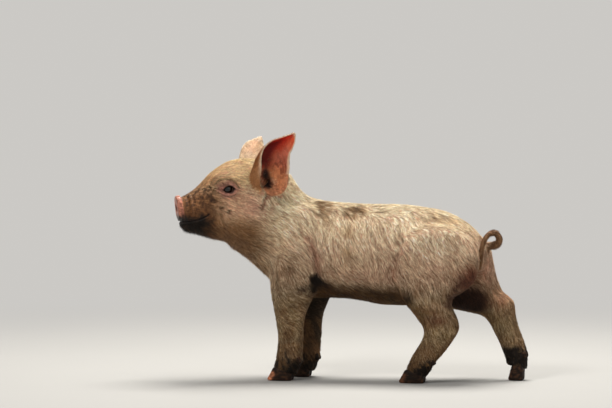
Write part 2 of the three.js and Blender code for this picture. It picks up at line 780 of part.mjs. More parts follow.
const eyeBall = (side, grow) => {
  const at = fromHead(EYE.along, -side * EYE.out, EYE.height);
  const ball = new THREE.SphereGeometry(EYE.radius + grow, 12, 8).rotateX(Math.PI / 2);
  return solid(ball.translate(at.x, at.y, at.z));
};

// Puts a shape drawn in the head's side view (x along, y up) and extruded by `depth` across the head.
function acrossHead(geometry, along, outFrom, height) {
  const basis = new THREE.Matrix4().makeBasis(headDirection(1, 0, 0), UP, headDirection(0, -1, 0));
  const at = fromHead(along, -outFrom, height);
  return solid(geometry.applyMatrix4(basis).translate(at.x, at.y, at.z));
}

function lidOpening(side) {
  const { front, back, rise, drop, depth } = LID_OPENING;
  const shape = new THREE.Shape();
  shape.moveTo(front, -1);
  shape.bezierCurveTo(front * 0.5, rise * 1.25, -back * 0.5, rise * 1.35, -back, 0.3);
  shape.bezierCurveTo(-back * 0.5, -drop * 1.3, front * 0.5, -drop * 1.35, front, -1);
  const geometry = new THREE.ExtrudeGeometry(shape, { depth, bevelEnabled: false, curveSegments: 8 });
  return acrossHead(geometry, EYE.along, side === LEFT ? -(EYE.out + depth) : EYE.out, EYE.height);
}

function mouthSlit() {
  const line = new THREE.SplineCurve(MOUTH_LINE.map((spot) => new THREE.Vector2(...spot)));
  const points = line.getSpacedPoints(14);
  const upper = points.map((p) => new THREE.Vector2(p.x, p.y + MOUTH_GAP / 2));
  const lower = points.map((p) => new THREE.Vector2(p.x, p.y - MOUTH_GAP / 2)).reverse();
  const shape = new THREE.Shape([...upper, ...lower]);
  const geometry = new THREE.ExtrudeGeometry(shape, { depth: 80, bevelEnabled: false });
  return acrossHead(geometry, 0, -40, 0);
}

const noseTurn = new THREE.Matrix4()
  .makeBasis(headDirection(1, 0, 0), headDirection(0, 1, 0), UP)
  .multiply(new THREE.Matrix4().makeRotationZ(-NOSE_TURN))
  .multiply(new THREE.Matrix4().makeRotationY(NOSE_TILT));
const noseAxis = new THREE.Vector3(1, 0, 0).transformDirection(noseTurn);

function nostril(side) {
  const hole = new THREE.SphereGeometry(1, 9, 6).scale(...NOSTRIL.size).rotateX(-side * NOSTRIL.lean);
  hole.translate(NOSE.halfThick, -side * NOSTRIL.out, NOSTRIL.above).applyMatrix4(noseTurn);
  const at = fromHead(NOSE.along, 0, NOSE.height);
  return solid(hole.translate(at.x, at.y, at.z));
}

// ---------------------------------------------------------------- feet

// One of a foot's two claws: a horn wedge with a flat sole and a sloping top.
function claw({ at, toe, heel, coronet }, offset) {
  const count = 10;
  const rings = CLAW_RINGS.map(([rise, toeShare, heelShare, breadth]) =>
    evenly(count + 1, 0, 2 * Math.PI)
      .slice(0, count)
      .map((angle) => {
        const [c, s] = [Math.cos(angle), Math.sin(angle)];
        const forward = c > 0 ? c ** 0.85 * toe * toeShare : -((-c) ** 0.7) * heel * heelShare;
        const narrowed = CLAW_HALF_BREADTH * breadth * (c > 0 ? 1 - 0.12 * c : 1);
        const aside = Math.sign(s) * Math.abs(s) ** 0.8 * narrowed;
        const top = mix(coronet[0], coronet[1], (toe * 0.56 - forward) / (toe * 0.56 + heel * 1.06));
        return new THREE.Vector3(at[0] - forward, at[1] + offset + aside, rise * top);
      }),
  );
  const middle = (ring) => ring.reduce((sum, p) => sum.add(p), new THREE.Vector3()).divideScalar(count);
  return solid(loft(rings, middle(rings[0]), middle(rings[rings.length - 1])));
}

// The part of a leg below its coronet is horn, so the leg's flesh stops at this slope.
function coronetPlane({ at, toe, heel, coronet }) {
  const a = new THREE.Vector3(at[0] - toe * 0.56, 0, coronet[0] + PART_GAP);
  const b = new THREE.Vector3(at[0] + heel * 1.06, 0, coronet[1] + PART_GAP);
  return halfSpace(a, new THREE.Vector3(0, -1, 0).cross(b.sub(a)));
}

function dewclaw({ at, dew }, offset, grow) {
  const { length, base, tip } = DEWCLAW;
  const cone = new THREE.CylinderGeometry(base + grow, tip + grow, length + 2 * grow, 7);
  cone.rotateX(Math.PI / 2).rotateY(-DEWCLAW_LEAN);
  return solid(cone.translate(dew[0], at[1] + offset, dew[1]));
}

// ---------------------------------------------------------------- parting and naming

const MATERIALS = {
  hide: new THREE.MeshStandardMaterial({ color: 0xd9b89a, roughness: 0.8, metalness: 0 }),
  nose: new THREE.MeshStandardMaterial({ color: 0xcf8f80, roughness: 0.6, metalness: 0 }),
  horn: new THREE.MeshStandardMaterial({ color: 0x5a4638, roughness: 0.6, metalness: 0 }),
  eye: new THREE.MeshStandardMaterial({ color: 0x1c1512, roughness: 0.1, metalness: 0 }),
};
const group = new THREE.Group();
group.name = "piglet";
function add(name, material, body) {
  const mesh = body.getMesh();
  const geometry = new THREE.BufferGeometry();
  geometry.setAttribute("position", new THREE.Float32BufferAttribute(mesh.vertProperties, 3));
  geometry.setIndex(Array.from(mesh.triVerts));
  geometry.computeVertexNormals();
  const node = new THREE.Mesh(geometry, MATERIALS[material].clone());
  node.name = name;
  group.add(node);
}

// Head and neck
let front = headAndNeck;
for (const side of [LEFT, RIGHT]) {
  front = front.add(eyeBall(side, PART_GAP + LID_THICKNESS)).subtract(eyeBall(side, PART_GAP));
  front = front.subtract(lidOpening(side)).subtract(earHollow(side)).subtract(earShell(side, PART_GAP));
}
const [headWithNeck] = partBy(front.subtract(mouthSlit()), beside(NECK_CUT));
const onHead = ([along, height]) => fromHead(along, 0, height);
const [wholeHead, neck] = partBy(headWithNeck, beside(HEAD_CUT, onHead));
const aheadOfNose = (grow) => {
  const back = fromHead(NOSE.along, 0, NOSE.height).addScaledVector(noseAxis, -NOSE.halfThick - grow);
  return halfSpace(back, noseAxis).intersect(halfSpace(new THREE.Vector3(0, 0, LIP_HEIGHT - grow), UP));
};
const [noseWhole, head] = partBy(wholeHead, aheadOfNose);
const noseWithNostrils = noseWhole.subtract(nostril(LEFT)).subtract(nostril(RIGHT));
add("head", "hide", head);
add("nose_disc", "nose", noseWithNostrils);
add("neck", "hide", neck);
for (const side of [LEFT, RIGHT]) {
  add(`ear_${SIDE_NAME[side]}`, "hide", earShell(side, 0));
  add(`eye_${SIDE_NAME[side]}`, "eye", eyeBall(side, 0));
}

// Legs, each from above its feet up to where it leaves the body
const inQuarter = (sideways, lengthways) => (grow) =>
  halfSpace(new THREE.Vector3(0, -sideways * grow, 0), new THREE.Vector3(0, sideways, 0)).intersect(
    halfSpace(new THREE.Vector3(-lengthways * grow, 0, 0), new THREE.Vector3(lengthways, 0, 0)),
  );
const LEG_CUTS = {
  fore_left: [beside({ from: [-200, FORELEG_CUT], to: [0, FORELEG_CUT] }), inQuarter(LEFT, -1)],
  fore_right: [beside({ from: [-200, FORELEG_CUT], to: [0, FORELEG_CUT] }), inQuarter(RIGHT, -1)],
  hind_left: [beside(HIND_LEFT_CUT), inQuarter(LEFT, 1)],
  hind_right: [beside(HIND_RIGHT_CUT), inQuarter(RIGHT, 1)],
};
let [, rest] = partBy(trunkAndLegs, beside(NECK_CUT));
rest = rest.subtract(tailTube(PART_GAP));
for (const [name, [below, quarter]] of Object.entries(LEG_CUTS)) {
  const foot = FEET[name];
  let leg;
  [leg, rest] = partBy(rest, (grow) => below(grow).intersect(quarter(grow)));
  leg = leg.intersect(coronetPlane(foot));
  for (const side of [LEFT, RIGHT]) {
    leg = leg.subtract(dewclaw(foot, (side * DEWCLAW.apart) / 2, PART_GAP));
    const place = side === Math.sign(foot.at[1]) ? "outer" : "inner";
    add(`${name}_claw_${place}`, "horn", claw(foot, (side * CLAW_SPACING) / 2));
    add(`${name}_dewclaw_${place}`, "horn", dewclaw(foot, (side * DEWCLAW.apart) / 2, 0));
  }
  add(`${name}_leg`, "hide", leg);
}

// Shoulders and hams, and the trunk that they leave
for (const side of [LEFT, RIGHT]) {
  let shoulderPart;
  let hamPart;
  [shoulderPart, rest] = partBy(rest, block(SHOULDER_OUTLINE, side));
  [hamPart, rest] = partBy(rest, block(HAM_OUTLINE, side));
  add(`shoulder_${SIDE_NAME[side]}`, "hide", shoulderPart);
  add(`ham_${SIDE_NAME[side]}`, "hide", hamPart);
}
add("trunk", "hide", rest);
add("tail", "hide", tailTube(0));

// The origin stands on the floor, under the middle of the whole
const extent = new THREE.Box3().setFromObject(group);
const middle = extent.getCenter(new THREE.Vector3());
for (const node of group.children) node.geometry.translate(-middle.x, -middle.y, -extent.min.z);

export default group;
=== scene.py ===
"""A life-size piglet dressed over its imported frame: skin, coat, claws, eyes, studio floor and camera.

Shapes are worked out in millimetres in the animal's own frame: head towards -X, its left side towards
-Y, floor at z = 0. The skin is the surface of one smooth field, negative inside.

In the code, p is mostly points, q the same points in the head's frame, n normals and d distances."""

import math

import bpy
import numpy as np
import openvdb as vdb
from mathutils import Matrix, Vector
from mathutils.bvhtree import BVHTree
from mathutils.kdtree import KDTree


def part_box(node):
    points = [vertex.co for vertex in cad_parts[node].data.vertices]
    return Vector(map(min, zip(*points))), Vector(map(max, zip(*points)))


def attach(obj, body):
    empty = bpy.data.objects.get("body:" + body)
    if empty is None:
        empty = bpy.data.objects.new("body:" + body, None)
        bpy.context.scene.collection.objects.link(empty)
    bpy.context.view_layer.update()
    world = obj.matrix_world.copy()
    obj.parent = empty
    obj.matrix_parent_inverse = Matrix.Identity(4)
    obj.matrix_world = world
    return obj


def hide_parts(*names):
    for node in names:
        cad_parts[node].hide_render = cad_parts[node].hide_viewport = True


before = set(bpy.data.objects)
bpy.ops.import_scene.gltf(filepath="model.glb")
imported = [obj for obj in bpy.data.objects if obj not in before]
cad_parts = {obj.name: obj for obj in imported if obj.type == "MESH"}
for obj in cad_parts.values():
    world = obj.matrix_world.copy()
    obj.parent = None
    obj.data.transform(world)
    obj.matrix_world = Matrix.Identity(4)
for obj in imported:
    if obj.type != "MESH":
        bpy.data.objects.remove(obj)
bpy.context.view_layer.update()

# ------------------------------------------------------------------ dimensions of the flesh

LEFT, RIGHT = -1, 1
HEAD_YAW = math.radians(27)
HEAD_AXIS = (-math.cos(HEAD_YAW), -math.sin(HEAD_YAW))
HEAD_ORIGIN = (-98.0, -8.0)
NOSE = dict(along=122.5, height=224.5, half_width=14.8, half_height=16.6, half_thick=3.7, round=2.3)
NOSE_TILT, NOSE_TURN = math.radians(7), math.radians(6)
NOSTRIL = dict(out=5.6, above=0.5, size=(6, 2.5, 4.6), lean=0.35)
EYE = dict(along=63.2, out=21.4, height=249.4, radius=8.0)
LID_THICK, EYE_ROOM = 1.6, 0.12
LID_OPENING = dict(front=7.2, back=6.6, rise=3.7, drop=3.7)
LID_OUT = 7  # how far the lids lie out from the eyeball's middle

# Sections: position along the axis, low, middle, high, centre, half breadth
TORSO = [
    (-140, 172, 215, 262, -26, 30), (-120, 154, 212, 271, -17, 35), (-100, 135, 200, 270, -9, 38),
    (-85, 121, 187, 262, -5, 40), (-72, 113, 178, 254, -2.5, 41.5), (-60, 109, 171, 244.5, -1, 43),
    (-45, 107, 167, 236.6, 0, 44.5), (-27, 107.5, 164, 232.4, 0, 46), (0, 107, 162, 229.6, 0, 48),
    (27, 103.5, 160, 228.2, 0, 49.5), (54, 98.5, 158, 228.6, 0, 50), (80, 98.5, 158, 227.6, 0, 48.5),
    (100, 104, 160, 225.6, 0, 46), (120, 112, 164, 222.4, 0, 43), (138, 122, 168, 217, 0, 39),
    (157, 132, 168, 207, 0, 33), (172, 140, 166, 195, 0, 24), (182, 148, 165, 182, 0, 15),
    (188, 157, 166, 174, 0, 7),
]
HEAD = [
    (-30, 172, 218, 264, 0, 34), (0, 172, 222, 279.5, 0, 37), (20, 175, 226, 285.6, 0, 38.5),
    (38, 178, 228, 287.2, 0, 38), (54, 181, 228, 284.6, 0, 35.5), (69, 183, 226, 277.5, 0, 30.5),
    (82, 185.5, 223, 268, 0, 25), (92, 188.5, 221, 258, 0, 21.5), (104, 193, 219, 247.2, 0, 18.5),
    (114, 198, 220, 241, 0, 15.8), (121, 204, 222, 238, 0, 13.6),
]
# Swells of brow, cheek, root of the ear, lips and chin: centre, size, how softly they join
HEAD_SWELLS = [
    ((60, 19.5, 261), (19, 10, 9), 14), ((34, 25, 207), (30, 16, 24), 14), ((13, 27, 246), (21, 13, 16), 14),
    ((99, 10.5, 217), (22, 7.5, 10), 8), ((106, 0, 201), (13, 10, 7.5), 7),
]
# Leg columns: height, front, middle, back, centre, half breadth
FORE_LEFT = [
    (135, -90, -62, -34, -33, 17), (118, -90.5, -62, -34.5, -33, 17), (109, -90, -63, -37.5, -32.5, 16.5),
    (96, -88, -65, -43, -32, 15.8), (83, -86, -66, -47.6, -31, 14.8), (70, -84.2, -66.5, -49.4, -30, 13.8),
    (57, -82.6, -66, -49.8, -29.5, 13.4), (47, -83, -67, -50.6, -29, 12.2),
    (37, -84, -67.5, -51.2, -28.5, 12.2), (28, -85.2, -68, -52, -28.5, 13.6),
    (18, -87, -71, -55, -28.5, 13.8), (8, -89, -75, -59, -28.5, 13.2), (0, -90, -76, -62, -28.5, 12),
]
HIND_LEFT = [
    (128, 84, 116, 142, -36, 20), (114, 85, 115, 143, -37, 20), (103, 87, 116, 144.5, -36.5, 19),
    (94.5, 93.5, 121, 148, -35.5, 17), (82, 101.5, 128, 153, -34, 14.6), (73, 107.6, 133, 154.6, -33, 13.2),
    (64, 109.4, 132, 151.8, -32.5, 12.6), (58, 107.8, 128, 148, -32, 12), (52, 105, 125, 144.2, -32, 11.6),
    (39, 97, 116, 134.2, -31.5, 11.6), (28, 91, 107, 124.5, -31.5, 13), (19, 87, 102, 118.5, -31.5, 13.6),
    (8, 83.5, 98, 113, -31.5, 13), (0, 82, 96, 110, -31.5, 12),
]
FORE_STEP = 13  # how far the right foreleg stands behind the left
HIND_RIGHT = [
    (100, 180, 198, 215, 31, 14), (90, 181, 200, 218.3, 31, 14.5), (80, 184, 202, 221, 31, 13.8),
    (68, 189.5, 206, 224.3, 31, 12.6), (50, 198.8, 214.5, 231.3, 31, 11.6), (40, 203, 219, 234.5, 31, 11.8),
    (31, 206.3, 221, 235.4, 31, 12.8), (20, 209.5, 222, 235, 31, 13.2), (8, 212.5, 223, 233.5, 31, 12.6),
    (0, 214, 223, 232, 31, 11),
]
# Feet: middle of the claws, reach of toe and heel, heights of the coronet in front and behind, dew hooves
FEET = {
    "fore_left": dict(at=(-79, -28.5), toe=17, heel=15, coronet=(16.5, 9.5), dew=(-54.5, 26)),
    "fore_right": dict(at=(-66, 28.5), toe=17, heel=15, coronet=(16.5, 9.5), dew=(-41.5, 26)),
    "hind_left": dict(at=(95, -31.5), toe=17.5, heel=15, coronet=(16.5, 9.5), dew=(120.5, 26.5)),
    "hind_right": dict(at=(222, 31), toe=10.5, heel=9, coronet=(20, 16), dew=(232.6, 33)),
}
CLAW_SPACING, CLAW_HALF = 13.4, 6.2
CORONET_FRONT, CORONET_BACK = 0.56, 1.06  # where the coronet ends, as shares of toe and heel
# Ear, row by row from inside the head to the tip:
# rearward, outward, up, reach to the front, reach to the rear, depth of the cup, curl of its front
EAR = [
    (-1, -9, -14, 13, 12, 7, 1), (-0.5, -3, -7, 17, 17.5, 10, 1), (1, 1.5, 2, 21, 19.5, 11.5, 1),
    (4, 4, 12, 23.5, 22.5, 11.5, 0.95), (6.5, 6, 23, 23.5, 22.5, 10.5, 0.8), (9, 9, 35, 21.5, 20, 9, 0.5),
    (13, 13, 44.4, 16.5, 18.6, 7.5, 0.2), (18.3, 17, 51, 10.8, 16, 6, 0), (24.6, 21, 56.4, 6.6, 13.4, 4.5, 0),
    (31, 24.5, 61.4, 3.6, 8, 2.4, 0), (36, 27, 65.6, 1.2, 1.4, 0.8, 0),
]
EAR_ROOT = dict(out=36, height=256, along={LEFT: 14, RIGHT: 10})
EAR_TURN, EAR_SPLAY = math.radians(17), {LEFT: 0.0, RIGHT: math.radians(14)}
# The ear's section, curled and open: [across, outward]
EAR_CURLED = [(0.5, 1), (0.9, 0.62), (1, -0.1), (0.6, -0.85), (0, -1), (-0.58, -0.55), (-1, 0.45)]
EAR_OPEN = [(1, 0.55), (0.86, 0.1), (0.68, -0.35), (0.38, -0.8), (0, -1), (-0.55, -0.75), (-1, 0)]
EAR_HOLLOW = dict(ahead=2, out=37, height=262, size=(9, 12, 15))
EAR_BOWL = dict(ahead=-7.4, out=46, height=262, size=(13, 11, 16))
# The lobe's free edge from the rear edge of the ear round to its front, [along, out, height]
LOBE = [
    (-8.4, 53.4, 265), (-8.0, 54.4, 259), (-6.9, 54.8, 253), (-3.0, 53.6, 247.4),
    (2.5, 51, 243.7), (8.5, 47.5, 243.2), (14.3, 42.8, 245.8), (18.6, 38.2, 251.5),
]
LOBE_CENTRE, LOBE_THICK = (2.4, 32.5, 266), 1.5
# The tail's curl from inside the rump to its tip: x, y, z, radius
TAIL = [
    (178, 0, 171, 5.6), (188.4, 0, 176, 5.4), (196.4, -1, 177, 4.9), (202, -2.5, 181, 4.4),
    (202.8, -4, 187, 4), (197.6, -7.5, 193.8, 3.8), (189.8, -12, 191.2, 3.7), (184.6, -17, 182.4, 3.5),
    (182.2, -20.5, 171.8, 3.1), (181.4, -22.5, 160.2, 2.7), (180.2, -23.5, 148.4, 1.9),
]

# How softly the forms run into each other
NECK_FILLET, MUSCLE_FILLET, SHOULDER_FILLET, HAM_FILLET, LEG_FILLET = 22, 9, 16, 14, 12
NOSE_FILLET, EAR_FILLET, LOBE_FILLET, HOOF_FILLET, LID_FILLET = 3, 5, 6, 3, 4

# ------------------------------------------------------------------ small mathematics

FAR = 200.0  # the distance given for whatever lies out of a shape's reach


def smooth_curve(xs, ys):
    """A curve through the points with no overshoot, level beyond its ends."""
    xs, ys = np.array(xs, float), np.array(ys, float)
    step = np.diff(xs)
    rise = np.diff(ys) / step
    slope = np.zeros(len(xs))
    slope[0], slope[-1] = rise[0], rise[-1]
    product = rise[:-1] * rise[1:]
    keep = product > 0
    slope[1:-1][keep] = 2 * product[keep] / (rise[:-1] + rise[1:])[keep]
    fine = np.linspace(xs[0], xs[-1], 800)
    i = np.clip(np.searchsorted(xs, fine, side="right") - 1, 0, len(step) - 1)
    t = (fine - xs[i]) / step[i]
    value = ys[i] * (1 + 2 * t) * (1 - t) ** 2 + slope[i] * step[i] * t * (1 - t) ** 2
    value += ys[i + 1] * t * t * (3 - 2 * t) + slope[i + 1] * step[i] * t * t * (t - 1)
    return lambda x: np.interp(x, fine, value)


def spline(points, count=None, at=None, power=0.25):
    """Catmull-Rom through points; power 0.25 is centripetal and 0 is uniform."""
    pts = np.array(points, float)
    t = np.linspace(0, 1, count) if at is None else np.asarray(at, float)
    s = t * (len(pts) - 1)
    i = np.clip(np.floor(s).astype(int), 0, len(pts) - 2)
    w = (s - i)[:, None]
    padded = np.vstack([2 * pts[0] - pts[1], pts, 2 * pts[-1] - pts[-2]])
    p0, p1, p2, p3 = (padded[i + k] for k in range(4))
    d0, d1, d2 = (np.maximum(((b - a) ** 2).sum(1), 1e-9) ** power for a, b in ((p0, p1), (p1, p2), (p2, p3)))
    d0, d1, d2 = d0[:, None], d1[:, None], d2[:, None]
    m1 = ((p1 - p0) / d0 - (p2 - p0) / (d0 + d1) + (p2 - p1) / d1) * d1
    m2 = ((p2 - p1) / d1 - (p3 - p1) / (d1 + d2) + (p3 - p2) / d2) * d1
    return p1 + m1 * w + (-3 * p1 + 3 * p2 - 2 * m1 - m2) * w**2 + (2 * p1 - 2 * p2 + m1 + m2) * w**3


def evenly_along(points, count):
    """The same polyline with its points evenly spaced."""
    run = np.concatenate([[0], np.cumsum(np.linalg.norm(np.diff(points, axis=0), axis=1))])
    at = np.linspace(0, run[-1], count)
    return np.stack([np.interp(at, run, points[:, c]) for c in range(points.shape[1])], 1)


def fillet(a, b, k):
    """The union of two distances, filled out where they meet over about k."""
    h = np.maximum(k - np.abs(a - b), 0) / k
    return np.minimum(a, b) - h * h * k / 4


def carve(a, b, k):
    """a with b taken away, its edge rounded over about k."""
    return -fillet(-a, b, k)


def ellipse(u, v, ru, rv):
    """Distance from an ellipse in its plane, good near its rim."""
    k0 = np.hypot(u / ru, v / rv)
    k1 = np.hypot(u / (ru * ru), v / (rv * rv))
    return k0 * (k0 - 1) / np.maximum(k1, 1e-9)


def ellipsoid(p, centre, size):
    """Distance from an ellipsoid with half axes `size`, good near its surface."""
    q = p - np.array(centre, np.float32)
    size = np.array(size, np.float32)
    k0 = np.sqrt(((q / size) ** 2).sum(1))
    k1 = np.sqrt(((q / size**2) ** 2).sum(1))
    return k0 * (k0 - 1) / np.maximum(k1, 1e-9)


def taper(p, a, ra, b, rb):
    """Distance from a limb that tapers from radius ra at a to rb at b."""
    a, b = np.array(a, np.float32), np.array(b, np.float32)
    axis = b - a
    t = np.clip((p - a) @ axis / (axis @ axis), 0, 1)
    return np.linalg.norm(p - a - t[:, None] * axis, axis=1) - (ra + (rb - ra) * t)


def near(low, high, shape, margin=24):
    """shape(p) where p is within margin of a box, and FAR elsewhere."""
    low, high = np.array(low, float) - margin, np.array(high, float) + margin

    def field(p):
        inside = np.all((p > low) & (p < high), axis=1)
        d = np.full(len(p), FAR, np.float32)
        if inside.any():
            d[inside] = shape(p[inside])
        return d

    return field


def section_body(table):
    """Distance from the body through a table's sections, for places along it, aside and up."""
    rows = sorted(table)
    xs = [row[0] for row in rows]
    low, mid, high, centre, half = (smooth_curve(xs, [row[c] for row in rows]) for c in range(1, 6))

    def shape(s, a, b):
        above = b - mid(s)
        reach = np.where(above > 0, high(s) - mid(s), mid(s) - low(s))
        rim = ellipse(a - centre(s), above, half(s), reach)
        end = np.maximum(xs[0] - s, s - xs[-1])
        return np.where(end <= 0, np.maximum(rim, end), np.hypot(np.maximum(rim, 0), end))

    return shape


def column(table):
    """A leg through the rows of its table."""
    body = section_body(table)
    rows = np.array(table)
    low = (rows[:, 1].min(), (rows[:, 4] - rows[:, 5]).min(), rows[:, 0].min())
    high = (rows[:, 3].max(), (rows[:, 4] + rows[:, 5]).max(), rows[:, 0].max())
    return near(low, high, lambda p: body(p[:, 2], p[:, 1], p[:, 0]))


def to_head(p):
    """Points in the head's own frame: along it from the poll, out to its left, and height."""
    u, v = p[:, 0] - HEAD_ORIGIN[0], p[:, 1] - HEAD_ORIGIN[1]
    return np.stack([u * HEAD_AXIS[0] + v * HEAD_AXIS[1], -u * HEAD_AXIS[1] + v * HEAD_AXIS[0], p[:, 2]], 1)


def from_head(q):
    q = np.atleast_2d(np.array(q, float))
    x = HEAD_ORIGIN[0] + q[:, 0] * HEAD_AXIS[0] - q[:, 1] * HEAD_AXIS[1]
    y = HEAD_ORIGIN[1] + q[:, 0] * HEAD_AXIS[1] + q[:, 1] * HEAD_AXIS[0]
    return np.stack([x, y, q[:, 2]], 1)


def head_way(v):
    """A direction given in the head's frame."""
    return from_head(v)[0] - from_head((0, 0, 0))[0]


def lattice(i, seed):
    """A fixed scatter of values from -1 to 1 over whole-numbered places."""
    h = (i[:, 0] * 73856093) ^ (i[:, 1] * 19349663) ^ (i[:, 2] * 83492791) ^ (seed * 40503 + 977)
    h = (h ^ (h >> 13)) * 1274126177
    return ((h ^ (h >> 16)) & 0xFFFF) / 32767.5 - 1


def noise(p, scale, seed=0):
    """Smooth value noise from -1 to 1, with lumps about `scale` across (a number or one per axis)."""
    q = p / np.array(scale, float)
    i = np.floor(q).astype(np.int64)
    f = q - i
    f = f * f * (3 - 2 * f)
    total = 0
    for corner in range(8):
        o = np.array([corner & 1, corner >> 1 & 1, corner >> 2 & 1])
        w = np.prod(np.where(o, f, 1 - f), axis=1)
        total = total + w * lattice(i + o, seed)
    return total


def ramp(x, low, high):
    """Smoothly from 0 at low to 1 at high."""
    t = np.clip((x - low) / (high - low), 0, 1)
    return t * t * (3 - 2 * t)


def fall(x, low, high):
    """Smoothly from 1 at low to 0 at high."""
    return 1 - ramp(x, low, high)


def bell(x):
    return np.exp(-(x**2))


def unit(v):
    return v / np.maximum(np.linalg.norm(v, axis=1), 1e-9)[:, None]


# ------------------------------------------------------------------ the field

skull = section_body(HEAD)
torso_body = section_body(TORSO)
torso = near((-140, -56, 98), (188, 50, 271), lambda p: torso_body(p[:, 0], p[:, 1], p[:, 2]), 40)


def nose_frame(q):
    """How far points lie out through the nose's disc, across it and up it."""
    du, dw, dz = q[:, 0] - NOSE["along"], q[:, 1], q[:, 2] - NOSE["height"]
    turned = du * math.cos(NOSE_TURN) - dw * math.sin(NOSE_TURN)
    across = du * math.sin(NOSE_TURN) + dw * math.cos(NOSE_TURN)
    deep = turned * math.cos(NOSE_TILT) - dz * math.sin(NOSE_TILT)
    up = turned * math.sin(NOSE_TILT) + dz * math.cos(NOSE_TILT)
    return deep, across, up


def pad(u, v, w, ru, rv, half, round_):
    """Distance from a thick ellipse with rounded edges: u and v in its plane, w through it."""
    rim = ellipse(u, v, ru - round_, rv - round_)
    deep = np.abs(w) - (half - round_)
    return np.hypot(np.maximum(rim, 0), np.maximum(deep, 0)) + np.minimum(np.maximum(rim, deep), 0) - round_


def nose_disc(q):
    deep, across, up = nose_frame(q)
    dish = 0.9 * np.exp(-(across**2 + up**2) / 90)
    size = (NOSE[key] for key in ("half_width", "half_height", "half_thick", "round"))
    return pad(across, up, deep + np.where(deep > 0, dish, 0), *size)


def nostrils(q):
    deep, across, up = nose_frame(q)
    d = FAR
    for side in (LEFT, RIGHT):
        a = across - side * NOSTRIL["out"]
        b = up - NOSTRIL["above"]
        lean = side * NOSTRIL["lean"]
        a, b = a * math.cos(lean) - b * math.sin(lean), a * math.sin(lean) + b * math.cos(lean)
        hole = np.stack([deep - NOSE["half_thick"], a, b], 1)
        d = np.minimum(d, ellipsoid(hole, (0, 0, 0), NOSTRIL["size"]))
    return d


def head_shape(p):
    q = to_head(p)
    d = skull(q[:, 0], q[:, 1], q[:, 2])
    mirrored = q * (1, 0, 1)
    mirrored[:, 1] = np.abs(q[:, 1])
    for centre, size, blend in HEAD_SWELLS:
        d = fillet(d, ellipsoid(mirrored, centre, size), blend)
    return fillet(d, nose_disc(q), NOSE_FILLET)


head = near((-232, -100, 172), (-60, 60, 288), head_shape, 30)


def eye_centre(side, further=0.0):
    """The middle of an eye in the head's frame, or a point `further` out from it."""
    return np.array((EYE["along"], -side * (EYE["out"] + further), EYE["height"]))


def lid_line(t):
    """Tilt and openness of the lids, from the rear corner at t = -1 to the front one at 1."""
    return np.where(t > 0, -1.0, 0.4) * np.abs(t) ** 1.5, np.maximum(1 - np.abs(t) ** 2.3, -2)


def lid_slit(q, side):
    """The almond between the lids, negative within it, in side view of the head."""
    a = q[:, 0] - EYE["along"]
    b = q[:, 2] - EYE["height"]
    tilt, room = lid_line(np.where(a > 0, a / LID_OPENING["front"], a / LID_OPENING["back"]))
    slit = np.maximum(b - tilt - LID_OPENING["rise"] * room, tilt - LID_OPENING["drop"] * room - b) * 0.75
    return np.maximum(slit, EYE["out"] - 1 + np.where(-side * q[:, 1] > 0, 0, 99) - np.abs(q[:, 1]))


def face_details(p, d):
    """Lids, eye sockets, nostrils and the hollows at the ears' feet."""
    q = to_head(p)
    for side in (LEFT, RIGHT):
        off = np.linalg.norm(q - eye_centre(side), axis=1)
        here = off < 24
        if here.any():
            ball = off[here] - EYE["radius"]
            lids = carve(fillet(d[here], ball - LID_THICK, LID_FILLET), lid_slit(q[here], side), 1.0)
            d[here] = np.maximum(lids, -(ball - EYE_ROOM))
        for hollow, soft in ((EAR_HOLLOW, 4), (EAR_BOWL, 3)):
            centre = (EAR_ROOT["along"][side] + hollow["ahead"], -side * hollow["out"], hollow["height"])
            here = np.linalg.norm(q - centre, axis=1) < 30
            if here.any():
                d[here] = carve(d[here], ellipsoid(q[here], centre, hollow["size"]), soft)
    here = q[:, 0] > 105
    if here.any():
        d[here] = carve(d[here], nostrils(q[here]), 1.6)
    return d


def shoulder(side):
    def shape(p):
        d = ellipsoid(p, (-50, side * 30, 180), (30, 18, 46))
        d = fillet(d, taper(p, (-74, side * 31, 150), 17, (-62, side * 33, 120), 17), SHOULDER_FILLET)
        return fillet(d, ellipsoid(p, (-54, side * 33.5, 146), (22, 17, 27)), SHOULDER_FILLET)

    y = sorted((side * 12, side * 51))
    return near((-91, y[0], 103), (-20, y[1], 226), shape)


def thigh(p, centre, side):
    return pad(p[:, 0] - centre, p[:, 2] - 157, p[:, 1] - side * 29, 54, 47, 23.5, 17)


def ham_left(p):
    return fillet(thigh(p, 126, LEFT), taper(p, (128, -33, 138), 26, (112, -37, 112), 19), HAM_FILLET)


def ham_right(p):
    d = fillet(thigh(p, 128, RIGHT), taper(p, (162, 24, 158), 28, (181, 31, 122), 16.5), HAM_FILLET)
    return fillet(d, taper(p, (142, 34, 116), 25, (198, 31, 97), 17), HAM_FILLET)


muscles = [
    shoulder(LEFT), shoulder(RIGHT),
    near((72, -58, 92), (182, -5, 206), ham_left), near((74, 4, 80), (216, 60, 206), ham_right),
]
fore_right = [(h, f + FORE_STEP, m + FORE_STEP, b + FORE_STEP, -c, w) for h, f, m, b, c, w in FORE_LEFT]
legs = {name: column(table) for name, table in zip(FEET, (FORE_LEFT, fore_right, HIND_LEFT, HIND_RIGHT))}


def sole_cut(p, foot):
    """How far a point lies below a foot's coronet."""
    front = foot["at"][0] - foot["toe"] * CORONET_FRONT
    back = foot["at"][0] + foot["heel"] * CORONET_BACK
    t = (p[:, 0] - front) / (back - front)
    return foot["coronet"][0] + (foot["coronet"][1] - foot["coronet"][0]) * t - p[:, 2]


